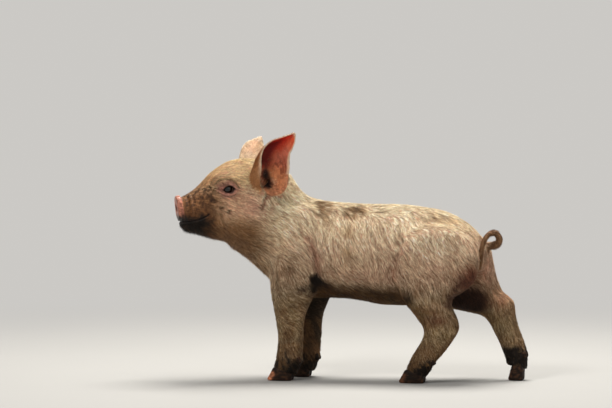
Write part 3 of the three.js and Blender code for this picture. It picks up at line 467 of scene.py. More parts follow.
def body(p):
    """The flesh without ears and tail. Each leg ends a little below its hoof's coronet."""
    d = fillet(torso(p), head(p), NECK_FILLET)
    for muscle in muscles:
        d = fillet(d, muscle(p), MUSCLE_FILLET)
    for name, leg in legs.items():
        part = leg(p)
        close = part < 60
        if close.any():
            part[close] = -fillet(-part[close], -(sole_cut(p[close], FEET[name]) - 1.2), HOOF_FILLET)
        d = fillet(d, part, LEG_FILLET)
    return d


# The tail as a chain of balls along its curl
TAIL_BALLS, CHUNK = 160, 20000
tail_line = spline([row[:3] for row in TAIL], TAIL_BALLS)
tail_radius = np.interp(
    np.linspace(0, 1, TAIL_BALLS), np.linspace(0, 1, len(TAIL)), [row[3] for row in TAIL]
)


def tail_shape(p):
    parts = np.array_split(p, max(1, len(p) // CHUNK))
    gaps = [np.linalg.norm(part[:, None] - tail_line[None], axis=2) - tail_radius for part in parts]
    return np.concatenate([gap.min(1) for gap in gaps])


tail = near(tail_line.min(0), tail_line.max(0), tail_shape, 12)

# ------------------------------------------------------------------ ears

EAR_ROWS, EAR_COLUMNS = 90, 64
LOBE_ROWS, LOBE_COLUMNS = 12, 60
EAR_SPARE = 0.7  # the ears are drawn this much thicker, so that the grid doesn't lose their edges


def ear_sheet(side):
    """The middle surface of an ear, as rows of points from inside the head to the tip."""
    turn, splay = EAR_TURN, EAR_SPLAY[side]
    index = np.linspace(0, len(EAR) - 1, EAR_ROWS)
    curves = [smooth_curve(range(len(EAR)), values) for values in zip(*EAR)]
    front_reach, rear_reach, depth, curl = (curve(index) for curve in curves[3:])
    # The axis is a spline through ten places along the table, as in the CAD
    coarse = np.linspace(0, len(EAR) - 1, 10)
    axis = spline(np.stack([curve(coarse) for curve in curves[:3]], 1), EAR_ROWS)
    tangent = unit(np.gradient(axis, axis=0))
    across = unit(np.stack([-tangent[:, 2], np.zeros(EAR_ROWS), tangent[:, 0]], 1))
    outwards = np.cross(across, tangent)
    sheet = []
    for r in range(EAR_ROWS):
        knots = []
        for (a, n), (ca, cn) in zip(EAR_OPEN, EAR_CURLED):
            u, v = a + (ca - a) * curl[r], n + (cn - n) * curl[r]
            knots.append((u * (front_reach[r] if u > 0 else rear_reach[r]), v * depth[r]))
        section = evenly_along(spline(knots, 120, power=0.0), EAR_COLUMNS)
        sheet.append(axis[r] + section[:, :1] * across[r] + section[:, 1:] * outwards[r])
    p = np.array(sheet).reshape(-1, 3)
    o = p[:, 1] * math.cos(splay) + p[:, 2] * math.sin(splay)
    z = p[:, 2] * math.cos(splay) - p[:, 1] * math.sin(splay)
    along = EAR_ROOT["along"][side] - p[:, 0] * math.cos(turn) + o * math.sin(turn)
    aside = EAR_ROOT["out"] + p[:, 0] * math.sin(turn) + o * math.cos(turn)
    return from_head(np.stack([along, -side * aside, EAR_ROOT["height"] + z], 1))


ear_sheets = {side: ear_sheet(side) for side in (LEFT, RIGHT)}


def lobe_place(q, side):
    """Moves points of the left lobe, [along, out, height] in the head's frame, to a side's own ear."""
    q = np.array(q, float).reshape(-1, 3)
    splay, out, up = EAR_SPLAY[side], q[:, 1] - EAR_ROOT["out"], q[:, 2] - EAR_ROOT["height"]
    along = q[:, 0] + EAR_ROOT["along"][side] - EAR_ROOT["along"][LEFT]
    aside = EAR_ROOT["out"] + out * math.cos(splay) + up * math.sin(splay)
    height = EAR_ROOT["height"] + up * math.cos(splay) - out * math.sin(splay)
    return np.stack([along, -side * aside, height], 1)


def lobe_sheet(side):
    """The wall of the lobe, as rows of points from its free edge down into the head."""
    edge = spline(LOBE, LOBE_COLUMNS)
    centre = np.array(LOBE_CENTRE, float)
    rows = [edge + (centre - edge) * (t * 0.55, t, t * 0.55) for t in np.linspace(0, 1, LOBE_ROWS)]
    return from_head(lobe_place(np.array(rows).reshape(-1, 3), side))


def grid_cells(rows, columns, closed=False):
    """Faces between rows of points; closed, each row runs round and meets its own start."""
    return [
        (r * columns + c, r * columns + d, (r + 1) * columns + d, (r + 1) * columns + c)
        for r in range(rows - 1)
        for c, d in zip(range(columns), [*range(1, columns), 0] if closed else range(1, columns))
    ]


def sheet_tree(points, rows, columns):
    return BVHTree.FromPolygons([Vector(v) for v in points], grid_cells(rows, columns))


lobe_trees = {side: sheet_tree(lobe_sheet(side), LOBE_ROWS, LOBE_COLUMNS) for side in (LEFT, RIGHT)}
ear_trees = {side: sheet_tree(ear_sheets[side], EAR_ROWS, EAR_COLUMNS) for side in (LEFT, RIGHT)}


def ear_thickness(place):
    """Half the ear's thickness, thinner at its free edges and tip."""
    edge = np.minimum(place[:, 1], 1 - place[:, 1])
    return 1.35 - 0.35 * np.exp(-edge / 0.05) - 0.25 * ramp(place[:, 0], 0.8, 1.0)


def ear_gap(p, side, reach=14.0):
    """Distance to the ear's skin, and the nearest point of its sheet: row and column (0 to 1), place."""
    d = np.full(len(p), FAR, np.float32)
    place, foot = np.zeros((len(p), 2), np.float32), np.zeros((len(p), 3))
    sheet = ear_sheets[side]
    inside = np.nonzero(np.all((p > sheet.min(0) - reach) & (p < sheet.max(0) + reach), axis=1))[0]
    find = ear_trees[side].find_nearest
    cell = np.full(len(p), -1)
    for i in inside:
        at, _, face, gap = find(Vector(p[i].tolist()), reach)
        if face is not None:
            d[i], cell[i], foot[i] = gap, face, at
    near_by = cell >= 0
    if near_by.any():
        r, c = np.divmod(cell[near_by], EAR_COLUMNS - 1)
        corner = r * EAR_COLUMNS + c
        a = sheet[corner]
        for axis, step, size in ((0, EAR_COLUMNS, EAR_ROWS), (1, 1, EAR_COLUMNS)):
            edge = sheet[corner + step] - a
            t = ((foot[near_by] - a) * edge).sum(1) / np.maximum((edge**2).sum(1), 1e-9)
            place[near_by, axis] = ((r, c)[axis] + np.clip(t, 0, 1)) / (size - 1)
    return np.where(d < FAR, d - ear_thickness(place), d).astype(np.float32), place, foot


def lobe_gap(p, side, reach=8.0):
    """Distance to the skin of the lobe at an ear's foot."""
    d = np.full(len(p), FAR, np.float32)
    centre = from_head(lobe_place((5, 46, 258), side))[0]
    find = lobe_trees[side].find_nearest
    for i in np.nonzero(((p - centre) ** 2).sum(1) < 34**2)[0]:
        gap = find(Vector(p[i].tolist()), reach)[3]
        if gap is not None:
            d[i] = gap - LOBE_THICK
    return d


def skin_field(p):
    """The whole animal's surface. The tail joins softly at its root alone, so that its curl stays free."""
    d = face_details(p, body(p))
    root = np.clip((196 - p[:, 0]) / 8, 0, 1) * np.clip((p[:, 1] + 9) / 6, 0, 1)
    d = fillet(d, tail(p), 0.4 + 6 * root)
    for side in (LEFT, RIGHT):
        ear = fillet(ear_gap(p, side)[0] - EAR_SPARE, lobe_gap(p, side), LOBE_FILLET)
        d = fillet(d, ear, EAR_FILLET)
    return d


# ------------------------------------------------------------------ skin

STEP, BLOCK = 1.15, 8  # the grid's pitch, and how many steps make a block
COAT = 0.45  # the skin's depth under the coat
LOW = np.array([-224.0, -86.0, 2.0])
BLOCKS = np.array([51, 19, 36])
BAND, BLOCK_REACH = 4.0, 13.5  # distances kept in the grid, and how near the skin a block is worked out


def surface():
    """Vertices and quads of the skin."""
    centres = np.stack(np.meshgrid(*[np.arange(n) for n in BLOCKS], indexing="ij"), -1).reshape(-1, 3)
    middle = (LOW + (centres + 0.5) * (STEP * BLOCK)).astype(np.float32)
    rough = np.minimum(body(middle), tail(middle))
    for side in (LEFT, RIGHT):
        rough = np.minimum(rough, ear_gap(middle, side)[0])
    volume = np.where(rough > 0, BAND, -BAND).astype(np.float32).reshape(BLOCKS)
    volume = volume.repeat(BLOCK, 0).repeat(BLOCK, 1).repeat(BLOCK, 2)
    active = centres[np.abs(rough) < BLOCK_REACH]
    inner = np.stack(np.meshgrid(*[np.arange(BLOCK)] * 3, indexing="ij"), -1).reshape(-1, 3)
    view = volume.reshape(BLOCKS[0], BLOCK, BLOCKS[1], BLOCK, BLOCKS[2], BLOCK)
    for chunk in np.array_split(active, max(1, len(active) // 400)):
        index = chunk[:, None] * BLOCK + inner[None]
        p = (LOW + index.reshape(-1, 3) * STEP).astype(np.float32)
        d = np.clip(skin_field(p) + COAT, -BAND, BAND).reshape(-1, BLOCK, BLOCK, BLOCK)
        view[chunk[:, 0], :, chunk[:, 1], :, chunk[:, 2], :] = d
    grid = vdb.FloatGrid(background=BAND)
    grid.copyFromArray(volume)
    points, quads = grid.convertToQuads(0.0)
    return points.astype(float) * STEP + LOW, quads.astype(np.int64)


def largest_piece(points, faces):
    """Drops every part but the one with most vertices."""
    label = np.arange(len(points))
    while True:
        lowest = label[faces].min(1)
        fresh = label.copy()
        np.minimum.at(fresh, faces.ravel(), np.repeat(lowest, faces.shape[1]))
        fresh = fresh[fresh]
        if (fresh == label).all():
            break
        label = fresh
    names, counts = np.unique(label, return_counts=True)
    keep = label == names[counts.argmax()]
    order = np.cumsum(keep) - 1
    return points[keep], order[faces[keep[faces[:, 0]]]]


# ------------------------------------------------------------------ finer face and folds

# From the animal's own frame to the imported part's, which stands over the middle of its box
SHIFT = np.array(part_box("eye_left")).mean(0) * 1000 - from_head(eye_centre(LEFT))[0]


def split_quads(points, quads, chosen):
    """Each chosen quad becomes four; its unchosen neighbours take the new points into their edges."""
    edges = np.stack([quads, np.roll(quads, -1, axis=1)], -1)
    low, high = edges.min(-1), edges.max(-1)
    key = low * len(points) + high
    names, where = np.unique(key[chosen], return_inverse=True)
    where = where.reshape(-1, 4) + len(points)
    middles = (points[names // len(points)] + points[names % len(points)]) / 2
    centres = points[quads[chosen]].mean(1)
    c = len(points) + len(names) + np.arange(len(centres))
    old = quads[chosen]
    fine = [np.stack([old[:, k], where[:, k], c, where[:, k - 1]], 1) for k in range(4)]
    added = dict(zip(names.tolist(), range(len(points), len(points) + len(names))))
    rest, rest_key = quads[~chosen], key[~chosen]
    touched = np.isin(rest_key, names).any(1)
    plain = np.concatenate([*fine, rest[~touched]])
    odd = []
    for face, keys in zip(rest[touched].tolist(), rest_key[touched].tolist()):
        loop = []
        for v, k in zip(face, keys):
            loop.append(v)
            if k in added:
                loop.append(added[k])
        odd.append(loop)
    return np.concatenate([points, middles, centres]), plain, odd


def face_field(p):
    return face_details(p, body(p)) + COAT


def settle(points, chosen, field, steps=2):
    """Moves the chosen points onto the field's surface."""
    p = points[chosen].astype(np.float32)
    small = 0.25
    offsets = np.eye(3, dtype=np.float32) * small
    for _ in range(steps):
        slope = np.stack([(field(p + o) - field(p - o)) / (2 * small) for o in offsets], 1)
        step = np.clip(field(p) / np.maximum((slope**2).sum(1), 0.2), -0.6, 0.6)
        p = p - step[:, None] * slope
    points[chosen] = p


def settle_ears(points):
    """Puts the ears' skin, where it stands clear of the head, at exactly its thickness from their sheets."""
    for side in (LEFT, RIGHT):
        gap, place, foot = ear_gap(points, side, 3.0)
        rows = np.nonzero(gap < 1.6)[0]
        clear = face_field(points[rows].astype(np.float32)) - COAT
        clear = np.minimum(clear, lobe_gap(points[rows], side) + 2)
        rows, clear = rows[clear > 3], clear[clear > 3]
        way = points[rows] - foot[rows]
        far = np.linalg.norm(way, axis=1)
        goal = ear_thickness(place[rows]) - COAT
        goal = far + (goal - far) * ramp(clear, 3, 8)
        points[rows] = foot[rows] + way * (goal / np.maximum(far, 0.2))[:, None]


def line_gap(a, points):
    """Distance from 2-D points to a polyline."""
    points = np.array(points, float)
    best = np.full(len(a), 1e9)
    for s, e in zip(points[:-1], points[1:]):
        t = np.clip((a - s) @ (e - s) / max((e - s) @ (e - s), 1e-9), 0, 1)
        best = np.minimum(best, np.linalg.norm(a - s - t[:, None] * (e - s), axis=1))
    return best


def side_gap(p, line):
    """Distance in side view from a curve through points [along, height]."""
    return line_gap(p[:, [0, 2]], spline(line, 8 * len(line)))


def fold(gap, depth, width):
    """A crease at gap 0, with a low swell on either side."""
    return depth * (0.35 * bell((gap - 2 * width) / width) - bell(gap / width))


# Creases over the upper lid, under the lower, at the inner corner and on the brow
LID_CREASES = [
    [(80, 256), (76, 259.8), (70, 262), (63, 262), (56, 258.5), (51.5, 251)],
    [(75, 243.5), (70, 241), (63, 240), (56, 241.5), (52.5, 245)],
    [(80, 249.5), (76, 250.6), (72, 249.2)],
    [(84, 256), (80, 262), (72, 267), (62, 268)],
]
# Folds in side view of the head, [along, height], with depth and width
MOUTH = [(130, 205.5), (121, 206.6), (112, 208), (102, 209.8), (94, 213), (88.5, 216.5)]
HEAD_FOLDS = [
    (MOUTH, 1.7, 1.0), (LID_CREASES[0], 1.2, 1.15), (LID_CREASES[1], 0.9, 1.1),
    (LID_CREASES[2], 0.8, 0.9), (LID_CREASES[3], 0.5, 0.9),
    ([(17, 240), (20, 233), (23, 226), (24, 216)], 1.0, 2.6),  # behind the jaw
    ([(7, 236), (9, 226), (14, 214)], 0.7, 3.0),
    ([(113.5, 240), (112, 226), (111.5, 214)], 1.4, 1.7),  # behind the disc
    ([(107, 241), (105, 229), (104, 217)], 0.45, 1.4),
    ([(100.5, 243), (98, 231), (97, 220)], 0.35, 1.4),
]
# Folds in side view of the body, [x, z], with depth, width and side
BODY_FOLDS = [
    ([(-37, 182), (-31, 166), (-28, 150), (-30, 136), (-36, 124)], 2.0, 3.8, LEFT),  # elbow
    ([(-24, 180), (-18, 164), (-15, 150), (-17, 136), (-23, 124)], 1.4, 4.0, RIGHT),
    ([(82, 182), (75, 166), (71, 150), (71, 134), (74, 116)], 2.2, 4.2, LEFT),  # flank
    ([(84, 182), (77, 166), (73, 150), (73, 134), (77, 116)], 1.2, 4.5, RIGHT),
    ([(-96, 150), (-84, 140), (-74, 128)], 0.7, 3.0, LEFT),  # breast
    ([(104, 98), (118, 92), (134, 92)], 0.7, 3.0, LEFT),  # over the stifle
    ([(-80, 50), (-66, 47), (-52, 50)], 0.5, 2.4, LEFT),  # knees
    ([(-67, 50), (-53, 47), (-39, 50)], 0.5, 2.4, RIGHT),
    ([(-78, 41), (-66, 38), (-54, 41)], 0.4, 2.0, LEFT),
    ([(-65, 41), (-53, 38), (-41, 41)], 0.4, 2.0, RIGHT),
]


def relief(p):
    """Height of folds and lumps over the plain surface."""
    q = to_head(p)
    foot = fall(p[:, 2], 24, 46)
    clods = ramp(noise(p, 4.5, 12) + 0.5 * noise(p, 2, 13), -0.2, 0.8)
    up = foot * (1.1 * clods + 0.25 * noise(p, 1.8, 14)) * ramp(p[:, 2], 5, 10)
    up += 0.35 * noise(p, 26, 3) + 0.12 * noise(p, 9, 4)
    up -= 3.0 * spot(p, (-62, 0, 264), (11, 24, 12))  # nape
    up += 2.4 * spot(p * (1, 0, 1), (112, 0, 178), (24, 1, 19)) * (np.abs(p[:, 1]) > 24)  # loin
    on_head = (q[:, 0] > 4) & (p[:, 2] > 172)
    for line, depth, width in HEAD_FOLDS:
        rows = np.nonzero(on_head & (np.abs(q[:, 1]) > (0 if depth > 1.5 else 4)))[0]
        up[rows] += fold(side_gap(q[rows], line), depth, width)
    for line, depth, width, side in BODY_FOLDS:
        rows = np.nonzero((p[:, 1] * side > 6) & (q[:, 0] < 30))[0]
        up[rows] += fold(side_gap(p[rows], line), depth, width)
    # Fine wrinkles round the eyes, and ripples along the snout's sides
    for side in (LEFT, RIGHT):
        r = np.linalg.norm(q - eye_centre(side, LID_OUT), axis=1)
        wave = np.sin(r * 2.4 + 1.2 * noise(p, 6, 9)) * bell((r - 12.5) / 3.2)
        up += 0.22 * wave
    snout = ramp(q[:, 0], 84, 96) * fall(q[:, 0], 114, 118) * ramp(np.abs(q[:, 1]), 4, 9)
    up += 0.2 * snout * np.sin(q[:, 0] * 1.5 + 2.0 * noise(p, (9, 9, 14), 11))
    return up


# ------------------------------------------------------------------ meshes


def to_metres(points):
    return (points + SHIFT) / 1000


def make_mesh(name, points, faces, extra=()):
    """A smooth mesh from points in millimetres, one array of equal faces, and a list of odd ones."""
    mesh = bpy.data.meshes.new(name)
    sizes = [faces.shape[1]] * len(faces) + [len(f) for f in extra]
    corners = np.concatenate([faces.ravel(), *[np.array(f) for f in extra]]) if extra else faces.ravel()
    mesh.vertices.add(len(points))
    mesh.vertices.foreach_set("co", to_metres(points).astype(np.float32).ravel())
    mesh.loops.add(len(corners))
    mesh.loops.foreach_set("vertex_index", corners.astype(np.int32))
    mesh.polygons.add(len(sizes))
    mesh.polygons.foreach_set("loop_start", np.concatenate([[0], np.cumsum(sizes)[:-1]]).astype(np.int32))
    mesh.update(calc_edges=True)
    mesh.shade_smooth()
    piece = bpy.data.objects.new(name, mesh)
    bpy.context.collection.objects.link(piece)
    return piece


def move_to(piece, points):
    piece.data.vertices.foreach_set("co", to_metres(points).astype(np.float32).ravel())
    piece.data.update()


def normals_of(mesh):
    n = np.zeros(len(mesh.vertices) * 3, np.float32)
    mesh.vertex_normals.foreach_get("vector", n)
    return n.reshape(-1, 3).astype(float)


def paint(mesh, name, colours):
    """Stores an sRGB colour (0 to 255) at each vertex, as linear light."""
    c = np.clip(np.asarray(colours, float) / 255, 0, 1)
    c = np.where(c <= 0.04045, c / 12.92, ((c + 0.055) / 1.055) ** 2.4)
    layer = mesh.color_attributes.new(name, "FLOAT_COLOR", "POINT")
    layer.data.foreach_set("color", np.concatenate([c, np.ones((len(c), 1))], 1).astype(np.float32).ravel())


def store(mesh, name, values):
    mesh.attributes.new(name, "FLOAT", "POINT").data.foreach_set("value", np.asarray(values, np.float32))


# ------------------------------------------------------------------ markings

PALE, STRAW, PINK, MAUVE = (242, 224, 188), (206, 172, 122), (200, 148, 124), (164, 116, 100)
TAN, BROWN, MUD, KHAKI, RED = (178, 138, 88), (98, 65, 38), (19, 12, 7), (124, 96, 58), (140, 74, 50)
RUBBED, LASH = (116, 86, 56), (112, 84, 62)
# Where the hairs' tips are paler: scruffy pale hairs under the belly, and painted rim light on the edges of
# the forelegs and on the throat
SCRUFF_AND_RIM_LIGHT = [
    ((44, -6, 95), (36, 44, 7)), ((-33, 26, 58), (7, 20, 34)),
    ((-92, -28, 80), (9, 20, 50)), ((-112, -24, 168), (30, 30, 26)),
]
# Colour of the flank from the feet up to the back, [height, colour]; it darkens downwards partly as painted
# shade
FLANK = [
    (40, (112, 84, 50)), (90, (112, 84, 54)), (112, (98, 70, 48)), (128, (114, 80, 58)),
    (150, (140, 103, 78)), (175, (208, 170, 139)), (200, (226, 194, 158)), (225, (228, 204, 168)),
    (250, (226, 200, 160)),
]
# Splashes of mud on the face, [along, out, height] and size; its left cheek has positive `out`
MUD_SPOTS = [
    ((99, 17, 252.5), (4, 10, 3)), ((93, 20, 248.5), (4, 10, 3.2)), ((90, 22, 242), (3.4, 10, 3.4)),
    ((83, 25, 235), (4.2, 11, 4)), ((74, 30, 226), (4, 11, 2.6)), ((65, 33, 221), (5, 11, 2.4)),
    ((86, 22, 252), (3, 9, 3)), ((88, -22, 238), (4, 10, 4)), ((96, -18, 250), (4, 10, 3)),
    ((60, -34, 218), (6, 11, 2.6)),
]
# Painted shade along the folds of the body, [x, z]: line, width, strength, colour and side
CREASE_MARKS = [
    ([(-42, 190), (-37, 178), (-31, 164), (-29, 150), (-30, 138)], 5.0, 0.62, (132, 80, 62), LEFT),
    ([(-24, 180), (-18, 164), (-15, 150), (-17, 136)], 5.0, 0.5, (132, 80, 62), RIGHT),
    ([(84, 184), (76, 168), (71, 150), (71, 134), (75, 114)], 4.0, 0.5, (126, 82, 62), LEFT),
    ([(84, 184), (77, 166), (73, 150), (73, 134), (77, 116)], 4.0, 0.45, (126, 82, 62), RIGHT),
    ([(96, 104), (108, 97), (122, 94)], 3.0, 0.35, (104, 66, 44), LEFT),
]
# The crease behind the left ham, [x, z], painted with shade
HAM_CREASE = [(141, 104), (147, 118), (154, 129), (161, 139)]
# Painted shade in the folds behind the jaw, [along, height]: line, width, strength, colour
JAW_MARKS = [
    ([(16.5, 243), (20.5, 237), (22.5, 230.5), (26, 224)], 1.9, 0.95, (84, 42, 30)),
    ([(10, 236), (11, 229), (14.5, 220)], 2.2, 0.6, (136, 82, 62)),
]


def blend(colour, other, amount):
    """Colours mixed towards another, or towards one for each point."""
    return colour + (np.array(other, float) - colour) * np.clip(amount, 0, 1)[:, None]


def one_colour(colour, p):
    """The same colour for each of the points."""
    return np.tile(np.array(colour, float), (len(p), 1))


def spot(p, centre, size):
    """1 at the centre, fading over about `size` along each axis."""
    return np.exp(-(((p - np.array(centre, float)) / np.array(size, float)) ** 2).sum(1))


def patchy(p, scale, seed, low=-0.4, high=0.4):
    """Irregular cover from 0 to 1, with ragged edges."""
    return ramp(noise(p, scale, seed) + 0.45 * noise(p, np.array(scale) * 0.37, seed + 1), low, high)


class Hide:
    """The colour (sRGB) of skin points p with normals n, painted light and shade included, and their dirt and
    painted shade, laid on one stain over another.

    `ears` says where the points lie on an ear. `side` and `face` are places on the body and the head with
    both halves folded onto positive y and positive out. In `q` only the left cheek has positive out."""

    def __init__(self, p, n, ears):
        self.p, self.n, self.ears = p, n, ears
        self.x, self.y, self.z = p.T
        self.q = to_head(p)
        self.out = np.abs(self.q[:, 1])
        self.side = np.stack([self.x, np.abs(self.y), self.z], 1)
        self.face = np.stack([self.q[:, 0], self.out, self.z], 1)
        self.fine, self.broad = noise(p, 5, 21), noise(p, 16, 22)
        self.dirt_and_shade = np.zeros(len(p))
        # The flank's tones by height, darkening downwards partly as painted shade
        heights, shades = [row[0] for row in FLANK], np.array([row[1] for row in FLANK], float)
        level = self.z + 5 * self.broad
        self.colour = np.stack([np.interp(level, heights, shades[:, k]) for k in range(3)], 1)

    def stain(self, colour, amount, soil_and_shade=1.0):
        amount = np.clip(amount, 0, 1)
        self.colour = blend(self.colour, colour, amount)
        self.dirt_and_shade = np.maximum(self.dirt_and_shade, soil_and_shade * amount)

    def paint(self, colour, amount):
        """A colour laid on the skin that adds nothing to its dirt and shade."""
        self.colour = blend(self.colour, colour, amount)

    def spots(self, at, rows):
        """Soft round stains: colour, amount, centre, size, and what each adds to the dirt and shade."""
        for colour, amount, centre, size, soil_and_shade in rows:
            self.stain(colour, amount * spot(at, centre, size), soil_and_shade)


# Pink skin that shows through at the elbow, flank, ham and breech
THIN_SKIN = [
    (MAUVE, 0.42, (-30, 50, 164), (12, 26, 20), 0.6), (MAUVE, 0.34, (70, 48, 140), (16, 30, 30), 0.6),
    (PINK, 0.5, (30, 50, 138), (46, 30, 18), 0.5), (PINK, 0.4, (122, 56, 150), (28, 30, 26), 0.5),
    (PINK, 0.5, (176, 30, 184), (20, 30, 26), 0.5),
]
# Worn, dirty patches on the back and flank: those on one side alone, then those on both
WORN_ONE_SIDE = [
    (BROWN, 0.5, (-20, 26, 228), (20, 16, 12)), (BROWN, 0.55, (92, 34, 170), (24, 24, 20)),
    (BROWN, 0.45, (112, -30, 222), (12, 16, 7)),
]
WORN_BOTH_SIDES = [
    (TAN, 0.5, (150, 20, 210), (34, 30, 18)), (TAN, 0.3, (-84, 36, 190), (20, 30, 34)),
    (BROWN, 0.35, (-70, 40, 150), (20, 30, 26)),
]


def mark_body(h):
    """Thin skin, red-brown breech with painted shade, painted shade in the folds, a painted highlight on the
    ham, rubbed dirt, and the belly's black mud with painted shade above its edge.
    """
    p, n, x, y, z, side = h.p, h.n, h.x, h.y, h.z, h.side
    h.spots(side, THIN_SKIN)
    # Red-brown on the breech and between the hams: reddish skin, partly painted shade
    h.stain(RED, 0.55 * spot(p, (182, 4, 146), (15, 18, 26)), 0.8)
    h.stain(RED, 0.75 * spot(p, (162, -34, 140), (17, 28, 22)) * ramp(n[:, 0], -0.2, 0.5), 0.8)
    h.stain(RED, 0.5 * spot(side, (160, 12, 120), (22, 20, 18)), 0.8)
    # Painted highlight on the top of the left ham
    h.stain((234, 204, 172), 0.7 * spot(p, (122, -52, 182), (38, 34, 17)), 0.0)
    # Painted shade along the folds
    for line, width, amount, colour, of_side in CREASE_MARKS:
        h.stain(colour, amount * bell(side_gap(p, line) / width) * (y * of_side > 12), 0.8)
    worn = patchy(p, (6, 6, 9), 23)
    rubbed = patchy(p, (5, 5, 8), 23, -0.9, 0.1)
    h.stain(RUBBED, 0.95 * rubbed * ramp(spot(p, (-30, -24, 230), (13, 22, 15)), 0.1, 0.6))
    h.stain(RUBBED, 0.7 * rubbed * spot(p, (-22, -34, 214), (10, 20, 12)))
    h.stain(RUBBED, 0.9 * rubbed * ramp(spot(p, (14, -28, 222), (17, 22, 9)), 0.1, 0.6))
    h.stain(RUBBED, 0.6 * rubbed * spot(p, (116, -26, 214), (16, 20, 8)))
    drawn = patchy(p, (5, 5, 14), 25, -0.7, 0.5)
    h.stain((160, 124, 82), 0.8 * drawn * spot(p, (12, -46, 186), (10, 26, 27)))
    for at, rows in ((p, WORN_ONE_SIDE), (side, WORN_BOTH_SIDES)):
        for colour, amount, centre, size in rows:
            h.stain(colour, amount * worn * spot(at, centre, size))
    h.stain(BROWN, 0.5 * worn * spot(p, (100, -56, 122), (16, 20, 13)))
    h.stain(BROWN, 0.4 * ramp(noise(p, 2.1, 31), 0.40, 0.62) * ramp(noise(p, 11, 32), 0.0, 0.5))
    # Belly, black with dried mud from the elbows to the stifles
    edge = 122 + 3.0 * noise(p, (8, 30, 8), 44) - 0.05 * (x - 10).clip(-60, 80) + 9 * bell((x + 30) / 16)
    along_belly = ramp(x, -46, -34) * fall(x, 88, 104) * ramp(z, 84, 96)
    under = fall(z, edge - 5, edge + 4) * along_belly
    # Painted shade on the skin just above the belly's black edge
    h.stain((62, 42, 29), 0.65 * fall(z, edge, edge + 12) * along_belly)
    h.stain(BROWN, 0.95 * under)
    h.stain(MUD, 0.98 * under * patchy(p, 7, 45, -1.9, -0.9))
    wedge = side_gap(side, [(-33, 137), (-29, 128), (-20, 118), (-6, 112)])
    wedge += np.where(y > 0, 2.5 + 2 * h.broad, 0)
    h.stain(MUD, 0.97 * fall(wedge + 1.6 * h.fine, 4.5, 9) * (side[:, 1] > 18))
    # Darker where the underside faces down
    inner = ramp(-n[:, 2], 0.0, 0.6) * fall(z, 118, 134) * ramp(x, -60, -40)
    h.stain(BROWN, 0.7 * inner)
    h.stain(MUD, 0.4 * inner * patchy(p, 8, 46))


